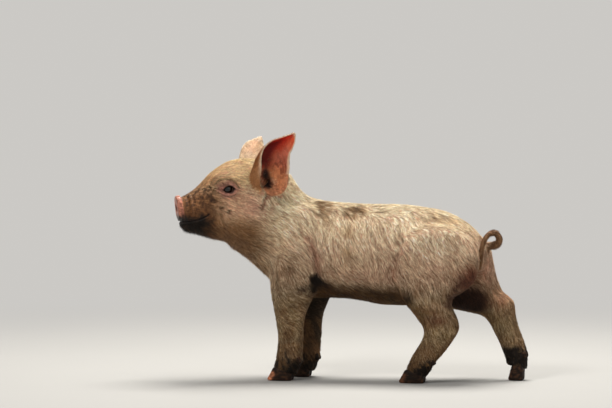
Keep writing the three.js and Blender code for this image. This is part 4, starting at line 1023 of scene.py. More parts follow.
def mark_legs(h):
    """Legs khaki, browner down, with painted shade on their rear, and caked at the feet; the right foreleg
    darkened by mud and painted shade; then breech and groin with painted shade.
    """
    p, n, x, y, z, side, fine, broad = h.p, h.n, h.x, h.y, h.z, h.side, h.fine, h.broad
    leg = fall(z + 5 * broad, 92, 126)
    h.stain(KHAKI, 0.65 * leg, 0.35)
    h.stain(BROWN, 0.75 * leg * patchy(p, (9, 9, 15), 41, -0.5, 0.9), 0.7)
    h.stain(BROWN, 0.7 * leg * fall(z + 5 * fine, 40, 74), 0.7)
    # Painted shade on the rear of the legs
    h.stain(BROWN, 0.55 * leg * ramp(n[:, 0], 0.1, 0.9), 0.7)
    bars = ramp(np.sin(z * 0.97 + 0.02 * (x + 62) ** 2 + 2.4 * noise(p, 9, 47)), 0.0, 0.9)
    h.stain((84, 56, 34), 0.6 * bars * spot(side, (-60, 44, 98), (24, 24, 30)))
    h.stain(MUD, 0.85 * patchy(p, (8, 8, 2.2), 63, -0.5, 0.3) * spot(side, (-48, 46, 121), (14, 22, 6)))
    # The right foreleg, darker on its inner side with mud and painted shade
    far_fore = (x < 20) & (y > 0)
    inner_side = fall(n[:, 1] + 0.2 * fine, -0.2, 0.5)
    h.stain(BROWN, 0.75 * leg * far_fore * (0.3 + 0.7 * inner_side))
    h.stain(MUD, 0.6 * leg * far_fore * inner_side * patchy(p, (7, 7, 12), 48))
    h.stain((92, 66, 40), 0.85 * fall(z + 5 * fine, 22, 44))
    caked = fall(z + 8 * noise(p, 6, 43) + 4 * noise(p, 2.4, 49), 14, 40)
    heel = np.where(x < 20, ramp(x - (z - 20) * 0.25, -80, -62), ramp(x - 0.9 * z, 70, 98))
    h.stain(MUD, 0.95 * ramp(caked * (0.10 + 1.0 * heel) * (0.5 + 0.85 * patchy(p, 3.2, 65)), 0.15, 0.8))
    splashed = patchy(p, (3.4, 3.4, 6), 42, 0.15, 0.6)
    h.stain(MUD, 0.75 * leg * (x < 20) * splashed * fall(z, 34, 66))
    band = ramp(z + 3 * fine, 20, 26) * fall(z + 4 * fine, 42, 50)
    h.stain(MUD, 0.93 * band * (x > 180) * patchy(p, 4, 50, -1.0, -0.4))
    # Orange skin on the right hock, with a painted highlight on its top
    h.stain((196, 124, 88), 0.75 * spot(p, (202, 30, 106), (13, 22, 14)), 0.5)
    h.stain((100, 58, 40), 0.85 * spot(p, (128, -44, 84), (16, 28, 8)), 0.8)
    h.stain((146, 96, 70), 0.5 * spot(p, (126, -44, 100), (18, 28, 8)), 0.5)
    h.stain(BROWN, 0.4 * spot(p, (104, -30, 66), (12, 20, 8)) * bars)
    # Breech and groin: red-brown skin with painted shade on the back of the ham, and painted shadow in the
    # groin
    breech = ramp(spot(p, (170, -44, 134), (20, 36, 25)), 0.12, 0.8)
    h.stain((100, 57, 40), 0.95 * breech * ramp(n[:, 0], -0.35, 0.3), 0.9)
    facing_down = ramp(-n[:, 2] + 0.8 * n[:, 0], -0.3, 0.4)
    # Painted shadow in the groin, under the ham and between the hind legs
    h.stain((48, 29, 20), 0.92 * spot(p, (154, -22, 108), (20, 28, 14)) * facing_down)
    h.stain((40, 23, 16), 0.95 * ramp(spot(p, (156, 10, 104), (32, 17, 20)), 0.1, 0.6) * (y > -14))
    # Painted shade in the crease behind the ham
    h.stain((70, 42, 30), 0.8 * bell(side_gap(p, HAM_CREASE) / 5.5) * (y < -16), 0.9)
    h.stain((206, 150, 126), 0.7 * spot(p, (189, 16, 150), (20, 26, 22)), 0.3)
    h.stain((186, 128, 92), 0.75 * spot(p, (197, 18, 112), (12, 26, 14)), 0.4)
    # Painted shade and mud high on the right foreleg's inner side
    h.stain(MUD, 0.75 * spot(p, (-46, 20, 100), (26, 22, 24)) * inner_side)
    h.stain((128, 90, 58), 0.75 * spot(p, (-44, 22, 36), (12, 22, 13)), 0.4)


def mark_head(h):
    """Straw forehead, pink cheek, brown jaw and snout, painted shade in the folds behind the jaw and under
    the throat, and splashes of mud.
    """
    p, q, z, n, broad = h.p, h.q, h.z, h.n, h.broad
    head_on = ramp(q[:, 0], 8, 42)
    h.stain((202, 168, 112), 0.75 * head_on * ramp(z, 236, 264), 0.45)
    h.stain((198, 150, 114), 0.8 * head_on * fall(z + 4 * broad, 236, 264), 0.5)
    h.stain(PINK, 0.7 * spot(q, (34, 36, 228), (12, 24, 15)), 0.6)
    h.stain(PINK, 0.5 * spot(h.face, (36, 34, 226), (12, 24, 15)), 0.6)
    h.stain((110, 70, 38), 0.85 * head_on * fall(z + 4 * broad, 196, 222), 0.8)
    # Painted shade in the folds behind the jaw
    for line, width, amount, colour in JAW_MARKS:
        h.stain(colour, amount * bell(side_gap(q, line) / width) * (h.out > 18), 0.9)
    # Painted shade under the throat, where the skin faces down
    throat_shade = ramp(-n[:, 2], 0.0, 0.7) * (z > 126) * (z < 222) * fall(h.x, -76, -66)
    h.stain((122, 86, 56), 0.7 * throat_shade, 0.6)
    h.stain(STRAW, 0.5 * spot(h.face, (24, 32, 262), (9, 20, 12)), 0.5)
    snout = ramp(q[:, 0] + 5 * broad, 62, 92)
    h.stain((176, 134, 84), 0.7 * snout * ramp(z, 236, 256), 0.6)
    h.stain((150, 100, 60), 0.9 * snout * fall(z + 3 * broad, 238, 254), 0.9)
    streaks = patchy(np.stack([q[:, 0], 2 * q[:, 1], z * 0.4], 1), 3.2, 51, -0.25, 0.6)
    h.stain((66, 40, 24), 0.8 * snout * streaks * fall(z, 246, 258))
    freckles = patchy(p, 2.2, 57, 0.0, 0.5)
    h.stain((86, 56, 36), 0.6 * freckles * head_on * ramp(q[:, 0], 50, 84) * fall(z, 250, 266))
    for centre, size in MUD_SPOTS:
        speck = spot(q, centre, size)
        h.stain((58, 36, 24), 0.75 * ramp(speck * (1 + 1.3 * noise(p, 1.9, 53)), 0.35, 0.8))


def mark_muzzle(h):
    """Black mud over the lips and chin, and the nose's disc with painted shade in its nostrils. Gives how far
    points are disc and mud.
    """
    p, q, z, fine = h.p, h.q, h.z, h.fine
    line = 215 + 4.5 * noise(p, (7, 7, 50), 54) - 0.04 * (q[:, 0] - 88).clip(0, 30)
    h.stain((96, 60, 34), 0.75 * ramp(q[:, 0] + 5 * fine, 66, 90) * fall(z + 4 * fine, 214, 236))
    back_edge = ramp(q[:, 0] + 9 * noise(p, 6, 58) + 4 * noise(p, 2.2, 66), 78, 102)
    muzzle = back_edge * fall(z, line - 7, line + 5)
    h.stain(MUD, 0.96 * muzzle * patchy(p, 3.5, 55, -1.5, -0.4))
    deep = nose_frame(q)[0]
    disc = ramp(deep, -4.6, -3.4) * (q[:, 0] > 100) * ramp(z, 205, 208)
    ragged = z + 3 * noise(p, 3, 59)
    h.paint((214, 146, 120), disc)
    h.paint((184, 112, 92), disc * ramp(deep, 1.8, 3.2) * 0.6)
    h.paint((112, 66, 50), disc * 0.55 * patchy(p, 2.4, 56, -0.1, 0.6))
    h.paint((84, 50, 38), 0.85 * disc * fall(ragged, 212, 230) * ramp(-deep, -1.5, 1.5))
    h.stain(MUD, 0.92 * disc * fall(ragged, 211, 218))
    # Painted shade in the nostrils
    h.paint((44, 20, 16), 0.95 * disc * fall(nostrils(q), 0.0, 1.4))
    return disc, muzzle


def mark_eyes(h):
    """Reddish lids with painted shade in their creases and along their edges, the pink inner corner, and
    painted shade along the mouth.
    """
    p, q = h.p, h.q
    for side in (LEFT, RIGHT):
        r = np.linalg.norm((q - (eye_centre(side, LID_OUT) + (2, 0, 0))) * (0.85, 1, 1.15), axis=1)
        h.stain((186, 128, 112), 0.85 * fall(r + 2.0 * h.fine, 8, 15), 0.8)
        h.stain((112, 70, 58), 0.7 * fall(r, 7, 14) * patchy(p, 2.2, 61, -0.1, 0.5), 0.8)
        broken = (q[:, 1] * -side > 8) * patchy(p, 3, 64, -1.2, 0.2)
        # Painted shade in the creases round the eye
        for crease, strength in zip(LID_CREASES, (0.75, 0.65, 0.7, 0.5)):
            h.stain((80, 44, 36), strength * bell(side_gap(q, crease) / 1.1) * broken, 0.9)
        # Painted shade along the edges of the lids
        h.stain((52, 30, 26), 0.9 * fall(lid_slit(q, side), 0.5, 2.0) * (r < 14), 0.9)
        corner = spot(q, eye_centre(side, 1) + (10.5, 0, 0.5), (3.4, 6, 2.4))
        h.stain((176, 104, 94), 0.8 * corner, 0.9)
    # Painted shade along the mouth's line
    mouth = side_gap(q, MOUTH)
    h.stain((26, 16, 13), 0.9 * bell(mouth / 1.2) * (q[:, 0] > 84))


def mark_tail(h):
    on_tail = (tail(h.p.astype(np.float32)) < 1.2) * ramp(h.x + np.abs(h.y), 184, 192)
    h.stain((122, 84, 56), 0.9 * on_tail, 0.8)
    h.stain(BROWN, 0.5 * on_tail * patchy(h.p, 4, 62), 0.7)


def ear_colours(h):
    """Pale hairy backs with painted rim light along the edges; inside, the red flap with painted light
    shining through it, painted shade in the fold and the canal, and the fleshy wall.
    """
    p, fine, broad = h.p, h.fine, h.broad
    _, row, col, within = h.ears
    outer = one_colour((216, 184, 152), p)
    outer = blend(outer, (198, 142, 104), 0.6 * ramp(broad, -0.5, 0.6))
    outer = blend(outer, (150, 86, 44), fall(col, 0.12, 0.45) * fall(row, 0.6, 0.9) * (h.y < 0))
    outer = blend(outer, (190, 140, 96), 0.6 * fall(row, 0.25, 0.5))
    low, upper = fall(row, 0.3, 0.5), fall(row, 0.66, 0.8)
    # Painted light shining through the red flap near the top of the ear
    light_through_flap = ramp(row + 0.03 * broad, 0.46, 0.66) * fall(col + 0.06 * fine, 0.30, 0.80)
    # Painted shade in the ear's folds and its canal
    fold_shade = 0.92 * bell((col - 0.40 + 0.5 * (row - 0.5)) / 0.12) * ramp(row, 0.3, 0.42)
    front_fold_shade = 0.92 * fall(col, 0.28, 0.42) * ramp(row, 0.25, 0.4) * fall(row, 0.6, 0.75)
    canal = 0.97 * fall(np.abs(col - 0.24), 0.08, 0.20) * fall(row, 0.36, 0.50)
    inside = one_colour((228, 122, 86), p)
    inside = blend(inside, (222, 140, 92), low * ramp(col, 0.4, 0.6))
    inside = blend(inside, (206, 112, 90), 0.7 * ramp(row, 0.34, 0.5) * ramp(col, 0.5, 0.7) * upper)
    # The red flap with painted light shining through it
    inside = blend(inside, (220, 42, 20), 0.95 * light_through_flap)
    inside = blend(inside, (224, 84, 50), 0.8 * ramp(row, 0.72, 0.9) * ramp(col, 0.2, 0.6))
    # Painted shade in the folds and the canal
    inside = blend(inside, (110, 12, 6), fold_shade * fall(row, 0.6, 0.85))
    inside = blend(inside, (112, 10, 6), front_fold_shade)
    inside = blend(inside, (22, 6, 3), canal)
    veins = patchy(p, (4, 4, 8), 71, -0.1, 0.6)
    inside = blend(inside, (120, 58, 40), 0.6 * veins * fall(row, 0.4, 0.6))
    faces = np.where(within[:, None] > 0, inside, outer)
    # The ears' pale edges, with painted rim light
    rim = np.maximum(bell(np.minimum(col, 1 - col) / 0.05), bell((1 - row) / 0.05)) * ramp(row, 0.2, 0.4)
    return blend(faces, (246, 218, 188), 0.9 * rim)


def mark_ears(h):
    """The ears' colours, the fleshy lobe at each ear's foot and painted shade in the ear canal."""
    p, n = h.p, h.n
    on_ear, _, col, within = h.ears
    h.colour = h.colour + (ear_colours(h) - h.colour) * on_ear[:, None]
    h.dirt_and_shade = np.maximum(h.dirt_and_shade, on_ear * (0.4 + 0.45 * fall(col, 0.2, 0.5) * (h.y < 0)))
    for side in (LEFT, RIGHT):
        middle = from_head(lobe_place((7, 44, 258), side))[0]
        close = np.nonzero(((p - middle) ** 2).sum(1) < 26**2)[0]
        lobe = lobe_gap(p[close].astype(np.float32), side)
        fleshy = fall(lobe, 1.0, 3.5) * ramp((n[close] * (-0.5, side, 0.3)).sum(1), 0.0, 0.5)
        h.colour[close] = blend(h.colour[close], (222, 142, 96), 0.85 * fleshy)
        h.colour[close] = blend(h.colour[close], (150, 84, 56), 0.5 * fleshy * patchy(p[close], 4, 72))
        h.dirt_and_shade[close] = np.maximum(h.dirt_and_shade[close], 0.8 * fleshy)
        canal = from_head((EAR_ROOT["along"][side] + 2, -side * 35, 263))[0]
        pit = spot(p, canal, (7, 8, 15))
        # Painted shade in the ear canal
        h.paint((20, 5, 3), 0.97 * ramp(pit, 0.2, 0.6) * np.where(on_ear > 0.5, within, 1))


def markings(p, n, ears):
    """Hide colour (sRGB) with painted light and shade in it, wetness, and dirt with painted shade, of skin
    points with normals.
    """
    h = Hide(p, n, ears)
    mark_body(h)
    mark_legs(h)
    mark_head(h)
    disc, muzzle = mark_muzzle(h)
    mark_eyes(h)
    mark_tail(h)
    mark_ears(h)
    mottled = 1 + 0.05 * h.fine[:, None] + 0.04 * noise(p, 1.6, 24)[:, None]
    return h.colour * mottled, np.clip(0.9 * disc + 0.25 * muzzle, 0, 1), h.dirt_and_shade


def ear_steps(side, row, col):
    """Steps of an ear's sheet up the ear and across it, at given rows and columns (0 to 1)."""
    sheet = ear_sheets[side].reshape(EAR_ROWS, EAR_COLUMNS, 3)
    r = np.clip((row * (EAR_ROWS - 2)).astype(int), 0, EAR_ROWS - 2)
    c = np.clip((col * (EAR_COLUMNS - 2)).astype(int), 0, EAR_COLUMNS - 2)
    return sheet[r + 1, c] - sheet[r, c], sheet[r, c + 1] - sheet[r, c]


def ear_place(p, n):
    """For each point: how much it lies on an ear, its row and column, and 1 on the ear's inner face."""
    on = np.zeros(len(p))
    row, col, within = np.zeros(len(p)), np.full(len(p), 0.5), np.zeros(len(p))
    for side in (LEFT, RIGHT):
        gap, place, _ = ear_gap(p, side, 6.0)
        close = gap < 5
        on[close] = np.maximum(on[close], fall(gap[close], 0.6, 4.0))
        row[close], col[close] = place[close].T
        facing = np.cross(*ear_steps(side, place[:, 0], place[:, 1]))
        sign = np.sign((facing * n).sum(1)) * side
        within[close] = (sign[close] > 0).astype(float)
    return on, row, col, within


# ------------------------------------------------------------------ the skin itself

points, quads = largest_piece(*surface())
middle = points[quads].mean(1)
local = to_head(middle)
finer = (local[:, 0] > 44) & (local[:, 2] > 165)
for side in (LEFT, RIGHT):
    finer |= (ear_gap(middle, side, 3.0)[0] < 1.5) & (middle[:, 2] > 250)
points, quads, odd = split_quads(points, quads, finer)
local = to_head(points)
settle(points, (local[:, 0] > 46) & (local[:, 2] > 165), face_field)
settle_ears(points)
skin = make_mesh("skin", points, quads, odd)
points = points + normals_of(skin.data) * relief(points)[:, None]
move_to(skin, points)
way = normals_of(skin.data)
ears = ear_place(points, way)
colour, wet, dirt_and_shade = markings(points, way, ears)
# Under the hair, clean skin is pinker and a little darker than the coat
pinker = 0.65 * ramp(colour.mean(1) / 200, 0.5, 0.9) * (1 - ears[0]) * (1 - 0.7 * dirt_and_shade)
under_hair = blend(colour, (184, 112, 94), pinker) * 0.9
store(skin.data, "wet", wet)
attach(skin, "root")
FLESH = ["head", "nose_disc", "neck", "ear_left", "ear_right", "trunk", "tail"]
FLESH += [f"{part}_{side}" for part in ("shoulder", "ham") for side in ("left", "right")]
FLESH += [f"{leg}_leg" for leg in FEET]
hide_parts(*FLESH)

# ------------------------------------------------------------------ materials


class Graph:
    """A material's or world's nodes, added one by one."""

    def __init__(self, tree):
        self.nodes, self.links = tree.nodes, tree.links

    def feed(self, node, inputs):
        """Sets a node's inputs: to constants, or by links from other nodes' outputs."""
        for key, value in inputs.items():
            if isinstance(value, bpy.types.NodeSocket):
                self.links.new(value, node.inputs[key])
            else:
                node.inputs[key].default_value = value

    def add(self, kind, inputs=None, **settings):
        node = self.nodes.new("ShaderNode" + kind)
        for key, value in settings.items():
            setattr(node, key, value)
        self.feed(node, inputs or {})
        return node

    def span(self, value, low, high, to_low, to_high, **settings):
        """The value carried from one range to another."""
        inputs = {"Value": value, "From Min": low, "From Max": high, "To Min": to_low, "To Max": to_high}
        return self.add("MapRange", inputs, **settings).outputs["Result"]

    def scaled(self, colour, factor):
        return self.add("VectorMath", {0: colour, "Scale": factor}, operation="SCALE").outputs["Vector"]


def new_material(name):
    material = bpy.data.materials.new(name)
    material.use_nodes = True
    graph = Graph(material.node_tree)
    return material, graph, graph.nodes["Principled BSDF"]


def tinted_material(name, scale, shades, rough, gloss, detail=2, span=(0.3, 0.7), drawn_out=None):
    """A material in the mesh's own tint, shaded by a fine grain. Gives the grain's output too."""
    material, g, shader = new_material(name)
    where = g.add("TexCoord").outputs["Object"]
    if drawn_out:
        where = g.add("Mapping", {"Vector": where, **drawn_out}).outputs["Vector"]
    grain = g.add("TexNoise", {"Vector": where, "Scale": scale, "Detail": detail}).outputs["Fac"]
    tint = g.add("Attribute", attribute_name="tint").outputs["Color"]
    colour = g.scaled(tint, g.span(grain, *span, *shades))
    g.feed(shader, {"Base Color": colour, "Roughness": rough, "Specular IOR Level": gloss})
    return material, g, shader, grain


def bumped(g, shader, height, strength, distance, under=None):
    """Relief in the shader's normal; `under` is a coarser one that it lies on."""
    inputs = {"Strength": strength, "Distance": distance, "Height": height}
    normal = g.add("Bump", inputs | ({"Normal": under} if under else {})).outputs["Normal"]
    g.feed(shader, {"Normal": normal})
    return normal


def skin_material():
    # Fine streaks that follow the lie of the coat, longest down the flank
    streaks = {"Rotation": (0, math.radians(28), 0), "Scale": (1.0, 1.0, 0.16)}
    material, g, shader, streak = tinted_material(
        "piglet_skin", 900, (0.80, 1.12), 0.62, 0.2, detail=3, drawn_out=streaks
    )
    wet = g.add("Attribute", attribute_name="wet").outputs["Fac"]
    where = g.add("TexCoord").outputs["Object"]
    pores = g.add("TexVoronoi", {"Vector": where, "Scale": 1100}).outputs["Distance"]
    g.feed(shader, {"Roughness": g.span(wet, 0, 1, 0.62, 0.32)})
    bumped(g, shader, pores, 0.25, 0.0003, bumped(g, shader, streak, 0.5, 0.0005))
    g.feed(shader, {
        "Subsurface Weight": 0.08,
        "Subsurface Radius": (0.004, 0.0015, 0.0008),
        "Subsurface Scale": 1.0,
    })
    return material


def horn_material():
    rings = {"Scale": (0.3, 0.3, 1.6)}
    material, g, shader, grain = tinted_material(
        "piglet_horn", 500, (0.7, 1.25), 0.55, 0.14, detail=4, drawn_out=rings
    )
    bumped(g, shader, grain, 0.4, 0.0006)
    return material


skin.data.materials.append(skin_material())

# ------------------------------------------------------------------ eyes

EYE_RINGS, EYE_SPOKES = 40, 64
CORNEA = 0.45  # how far the cornea stands out from the ball
GAZE_AHEAD, GAZE_UP = 0.25, 0.02  # the gaze's lean from straight out of the head
EYE_WHITE, IRIS, IRIS_RIM, PUPIL = (150, 128, 112), (46, 27, 18), (20, 11, 9), (6, 4, 5)


def end_fans(rows, columns):
    """Triangles that close a tube, from its two last points to its first and last rows."""
    after = [*range(1, columns), 0]
    last = (rows - 1) * columns
    fans = [(rows * columns, d, c) for c, d in enumerate(after)]
    return fans + [(rows * columns + 1, last + c, last + d) for c, d in enumerate(after)]


eye_look = tinted_material("piglet_eye", 1500, (0.75, 1.25), 0.05, 0.5, span=(0, 1))[0]
for side, word in ((LEFT, "left"), (RIGHT, "right")):
    gaze = head_way((GAZE_AHEAD, -side * 1.0, GAZE_UP))
    gaze = gaze / np.linalg.norm(gaze)
    u = np.cross(gaze, (0, 0, 1))
    u /= np.linalg.norm(u)
    v = np.cross(u, gaze)
    a = np.linspace(0, math.pi, EYE_RINGS + 1)[1:-1]
    b = np.linspace(0, 2 * math.pi, EYE_SPOKES, endpoint=False)[:, None]
    radius = EYE["radius"] + CORNEA * np.exp(-((a / 0.55) ** 4))
    around = np.sin(a)[:, None, None] * (np.cos(b) * u + np.sin(b) * v)
    ball = ((np.cos(a)[:, None, None] * gaze + around) * radius[:, None, None]).reshape(-1, 3)
    ball = np.vstack([ball, gaze * (EYE["radius"] + CORNEA), -gaze * EYE["radius"]])
    ball += from_head(eye_centre(side))[0]
    faces = np.array(grid_cells(len(a), EYE_SPOKES, closed=True))
    eye = make_mesh(f"eyeball_{word}", ball, faces, end_fans(len(a), EYE_SPOKES))
    # Tones by the angle from the gaze
    angle = np.concatenate([np.repeat(a, EYE_SPOKES), [0, math.pi]])
    tone = one_colour(EYE_WHITE, ball)
    tone = blend(tone, IRIS, fall(angle, 0.86, 0.94))
    tone = blend(tone, IRIS_RIM, fall(angle, 0.84, 0.90) * ramp(angle, 0.74, 0.82))
    tone = blend(tone, PUPIL, fall(angle, 0.34, 0.44))
    paint(eye.data, "tint", tone)
    eye.data.materials.append(eye_look)
    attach(eye, "root")
    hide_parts(f"eye_{word}")

# ------------------------------------------------------------------ claws

# A claw's rings from the sole up: height, reach of toe, reach of heel and breadth, as shares
CLAW_ROWS = [
    (0, 0.80, 0.84, 0.72), (0.012, 0.90, 0.92, 0.85), (0.05, 0.97, 0.98, 0.94), (0.12, 1.0, 1.0, 0.98),
    (0.3, 0.91, 1.03, 1.0), (0.5, 0.8, 1.04, 1.02), (0.75, 0.68, 1.05, 1.03), (0.95, 0.58, 1.06, 1.04),
    (1.06, 0.5, 1.0, 0.98), (1.12, 0.3, 0.8, 0.7),
]
CLAW_RINGS, CLAW_SPOKES = 34, 36
DEW = dict(length=8.5, base=3.5, tip=2.3, apart=14, lean=math.radians(25))
DEW_RINGS, DEW_SPOKES = 18, 24
# Colour of the horn under the mud, by foot; only the toe of the left forefoot is rubbed clean
HORN = {"fore_left": (206, 132, 96), "hind_right": (112, 66, 46)}
OTHER_HORN = (92, 64, 44)


def claw_mesh(name, foot, offset):
    """One of a foot's two claws, its top under the skin along the coronet's slope."""
    low, high = foot["coronet"]
    front, back = foot["toe"] * CORONET_FRONT, foot["heel"] * CORONET_BACK
    pts = []
    for rise, toe_share, heel_share, breadth in spline(CLAW_ROWS, CLAW_RINGS):
        for k in range(CLAW_SPOKES):
            angle = 2 * math.pi * k / CLAW_SPOKES
            cosine, sine = math.cos(angle), math.sin(angle)
            if cosine > 0:
                forward = cosine**0.85 * foot["toe"] * toe_share
            else:
                forward = -((-cosine) ** 0.7) * foot["heel"] * heel_share
            narrow = CLAW_HALF * breadth * (1 - 0.12 * cosine if cosine > 0 else 1)
            aside = math.copysign(abs(sine) ** 0.8, sine) * narrow
            top = low + (high - low) * (front - forward) / (front + back)
            pts.append((foot["at"][0] - forward, foot["at"][1] + offset + aside, max(rise, 0) * top))
    pts = np.array(pts)
    faces = np.array(grid_cells(CLAW_RINGS, CLAW_SPOKES, closed=True))[:, ::-1]
    sole = list(range(CLAW_SPOKES))
    piece = make_mesh(name, pts, faces, [sole, [(CLAW_RINGS - 1) * CLAW_SPOKES + k for k in sole][::-1]])
    lumps = noise(pts, (3, 3, 1.4), 81)
    pts = pts + normals_of(piece.data) * (0.16 * lumps * ramp(pts[:, 2], 0.6, 2.0))[:, None]
    move_to(piece, pts)
    return piece, pts


def spur_mesh(name, base, tip, r0, r1):
    """A blunt dew hoof from base to tip."""
    axis = tip - base
    length = np.linalg.norm(axis)
    axis = axis / length
    u = np.cross(axis, (0, 1, 0))
    u /= np.linalg.norm(u)
    v = np.cross(axis, u)
    angles = np.linspace(0, 2 * math.pi, DEW_SPOKES, endpoint=False)
    circle = np.stack([math.cos(a) * u * 1.15 + math.sin(a) * v * 0.9 for a in angles])
    rows = []
    for t in np.linspace(0, 1, DEW_RINGS):
        radius = r0 + (r1 - r0) * t
        bulge = math.sqrt(max(1 - (max(t - 0.72, 0) / 0.285) ** 2, 0.0))
        tuck = 1 - 0.25 * max(0.15 - t, 0) / 0.15
        rows.append(base + axis * length * t + circle * radius * bulge * tuck)
    pts = np.vstack([*rows, [base], [tip]])
    faces = np.array(grid_cells(DEW_RINGS, DEW_SPOKES, closed=True))
    return make_mesh(name, pts, faces, end_fans(DEW_RINGS, DEW_SPOKES)), pts


def horn_colour(p, foot_name):
    """Horn under mud."""
    ahead = FEET[foot_name]["at"][0] - p[:, 0]
    colour = one_colour(HORN.get(foot_name, OTHER_HORN), p)
    colour = blend(colour, (150, 84, 56), 0.7 * patchy(p, 4, 82))
    cover = 1 - ramp(ahead + 3.5 * noise(p, 4, 83), 6, 12) * fall(p[:, 2], 9, 15)
    if foot_name != "fore_left":
        cover = np.maximum(cover, 0.4)
    colour = blend(colour, MUD, 0.9 * cover)
    return blend(colour, (98, 66, 44), 0.55 * patchy(p, 2.6, 84, 0.0, 0.6))


horn_look = horn_material()
for name, foot in FEET.items():
    for side in (LEFT, RIGHT):
        place = "outer" if side == np.sign(foot["at"][1]) else "inner"
        claw, claw_pts = claw_mesh(f"hoof_{name}_{place}", foot, side * CLAW_SPACING / 2)
        x, z = foot["dew"]
        at = np.array((x, foot["at"][1] + side * DEW["apart"] / 2, z))
        down = np.array((math.sin(DEW["lean"]), 0, -math.cos(DEW["lean"]))) * DEW["length"] / 2
        ends = at - down * 1.1, at + down
        spur, spur_pts = spur_mesh(f"dewhoof_{name}_{place}", *ends, DEW["base"], DEW["tip"])
        for piece, pts, node in ((claw, claw_pts, "claw"), (spur, spur_pts, "dewclaw")):
            paint(piece.data, "tint", horn_colour(pts, name))
            piece.data.materials.append(horn_look)
            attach(piece, "root")
            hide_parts(f"{name}_{node}_{place}")

# ------------------------------------------------------------------ coat


def coat_plan(p, n, ears):
    """The hair at each place: which way it lies, length and width (mm), how far its tip lifts, density."""
    q = to_head(p)
    x, y, z = p.T
    head = ramp(q[:, 0], 6, 40)[:, None]
    lie = np.tile((0.42, 0, -0.9), (len(p), 1))
    lie += np.outer(ramp(-x, 10, 70) * ramp(z, 130, 170), (0.45, 0, 0.25))
    lie += np.outer(ramp(n[:, 2], 0.55, 0.95), (0.9, 0, 0.0))
    belly = ramp(-n[:, 2], 0.2, 0.8) * ramp(z, 95, 110)
    lie += np.outer(belly, (0.9, 0, 0.2))
    leg = fall(z, 95, 125)
    lie += np.outer(leg, (0.0, 0, -0.6))
    fore = leg * (x < 10) * ramp(z, 55, 80)
    lie += np.outer(fore, (1.3, 0, 0.55))
    chest = ramp(-n[:, 0], 0.3, 0.8) * ramp(-x, 66, 84) * fall(z, 190, 215) * ramp(z, 100, 130)
    lie += np.outer(chest, (-0.5, 0, -0.3))
    lie = lie * (1 - head) + head_way((-1.0, 0, -0.32)) * head
    on_ear, row, col, within = ears
    for side in (LEFT, RIGHT):
        up_ear, across_ear = ear_steps(side, row, col)
        outwards = unit(up_ear) + 0.8 * unit(across_ear) * np.sign(col - 0.35)[:, None]
        mine = (on_ear > 0.3) & (np.where(y < 0, LEFT, RIGHT) == side)
        lie[mine] = outwards[mine]
    lie -= n * (lie * n).sum(1)[:, None]
    lie = unit(lie)
    # Gentle swirls
    turn = 0.38 * noise(p, 24, 101) + 0.22 * noise(p, 9, 102)
    lie = lie * np.cos(turn)[:, None] + np.cross(n, lie) * np.sin(turn)[:, None]

    length = 8.4 + 3.2 * belly + 1.6 * ramp(n[:, 2], 0.6, 1.0)
    length = length + (5.4 - length) * leg
    length = length + (3.4 - length) * fall(z, 22, 50)
    length = length + (4.4 - length) * ramp(q[:, 0], 8, 46)
    length = length + (2.4 - length) * ramp(q[:, 0], 76, 100)
    length = length + (3.6 - length) * on_ear
    chin = ramp(q[:, 0], 60, 80) * ramp(-n[:, 2], 0.2, 0.8)
    length = length + 2.6 * chin + 2.0 * chest
    width = 0.40 - 0.14 * ramp(q[:, 0], 20, 80) - 0.08 * on_ear - 0.06 * leg
    lift = 0.9 + 1.2 * chest + 1.4 * belly + 0.9 * chin + 0.5 * ramp(n[:, 2], 0.7, 1.0)
    lift = lift - 0.35 * ramp(q[:, 0], 30, 80) - 0.3 * on_ear
    dense = np.ones(len(p))
    dense *= 1 + 0.5 * ramp(q[:, 0], 10, 60) + 0.5 * leg
    dense *= 1 - 0.94 * on_ear * within
    dense *= 1 - 0.35 * belly
    # Bare: the nose's disc, the lips, the rims of the lids and what touches the floor
    dense *= 1 - ramp(nose_frame(q)[0], -6.5, -5) * (q[:, 0] > 98) * ramp(z, 206, 208)
    dense *= 1 - fall(side_gap(q, MOUTH), 1.2, 2.6) * (q[:, 0] > 84)
    for side in (LEFT, RIGHT):
        near_lid = (np.abs(q - eye_centre(side, LID_OUT)) < 16).all(1)
        slit = lid_slit(q[near_lid], side)
        dense[near_lid] *= 0.3 * ramp(slit, 1.2, 3.2) + 0.7 * ramp(slit, 4, 9)
    dense *= ramp(z, 7, 12)
    return lie, length, width, lift, dense


def box_unwrap(p, n):
    """A flat layout of the skin, seen square on from the six sides, in one unit square."""
    x, y, z = (p + (226, 78, 0)).T / 960
    axis = np.argmax(np.abs(n) * (0.8, 1.25, 1.0), axis=1)
    positive = np.take_along_axis(n, axis[:, None], 1)[:, 0] > 0
    u = np.where(axis == 0, 0.50 + y, x)
    v = np.where(axis == 2, 0.70 + y, z)
    # The views from opposite sides lie beside each other
    u = np.where((axis == 0) & positive, u + 0.18, u)
    v = np.where((axis == 1) & positive, v + 0.345, v)
    v = np.where((axis == 2) & positive, v + 0.13, v)
    v = np.where(axis == 2, v * 0.99, v)
    return np.stack([u, np.clip(v, 0.002, 0.998)], 1)


def streaks_along(p, lie, reach):
    """Noise drawn out along the lie of the coat, about 1 either way."""
    total = sum(noise(p + lie * s, 1.05, 121) for s in np.linspace(-reach, reach, 7))
    return total / total.std()


HAIRS = 260000
WILD_SHARE = 0.06  # of the hairs stand up and stray further than the others
LEADERS = HAIRS // 3  # how many hairs the others may lean towards
LOCK_REACH = 3.0  # how near a leader's tip must be
STREAK_REACH = 4  # half the length of the streaks of colour in the coat
ROOT_DEPTH = 0.25  # how deep the hairs stand in the skin

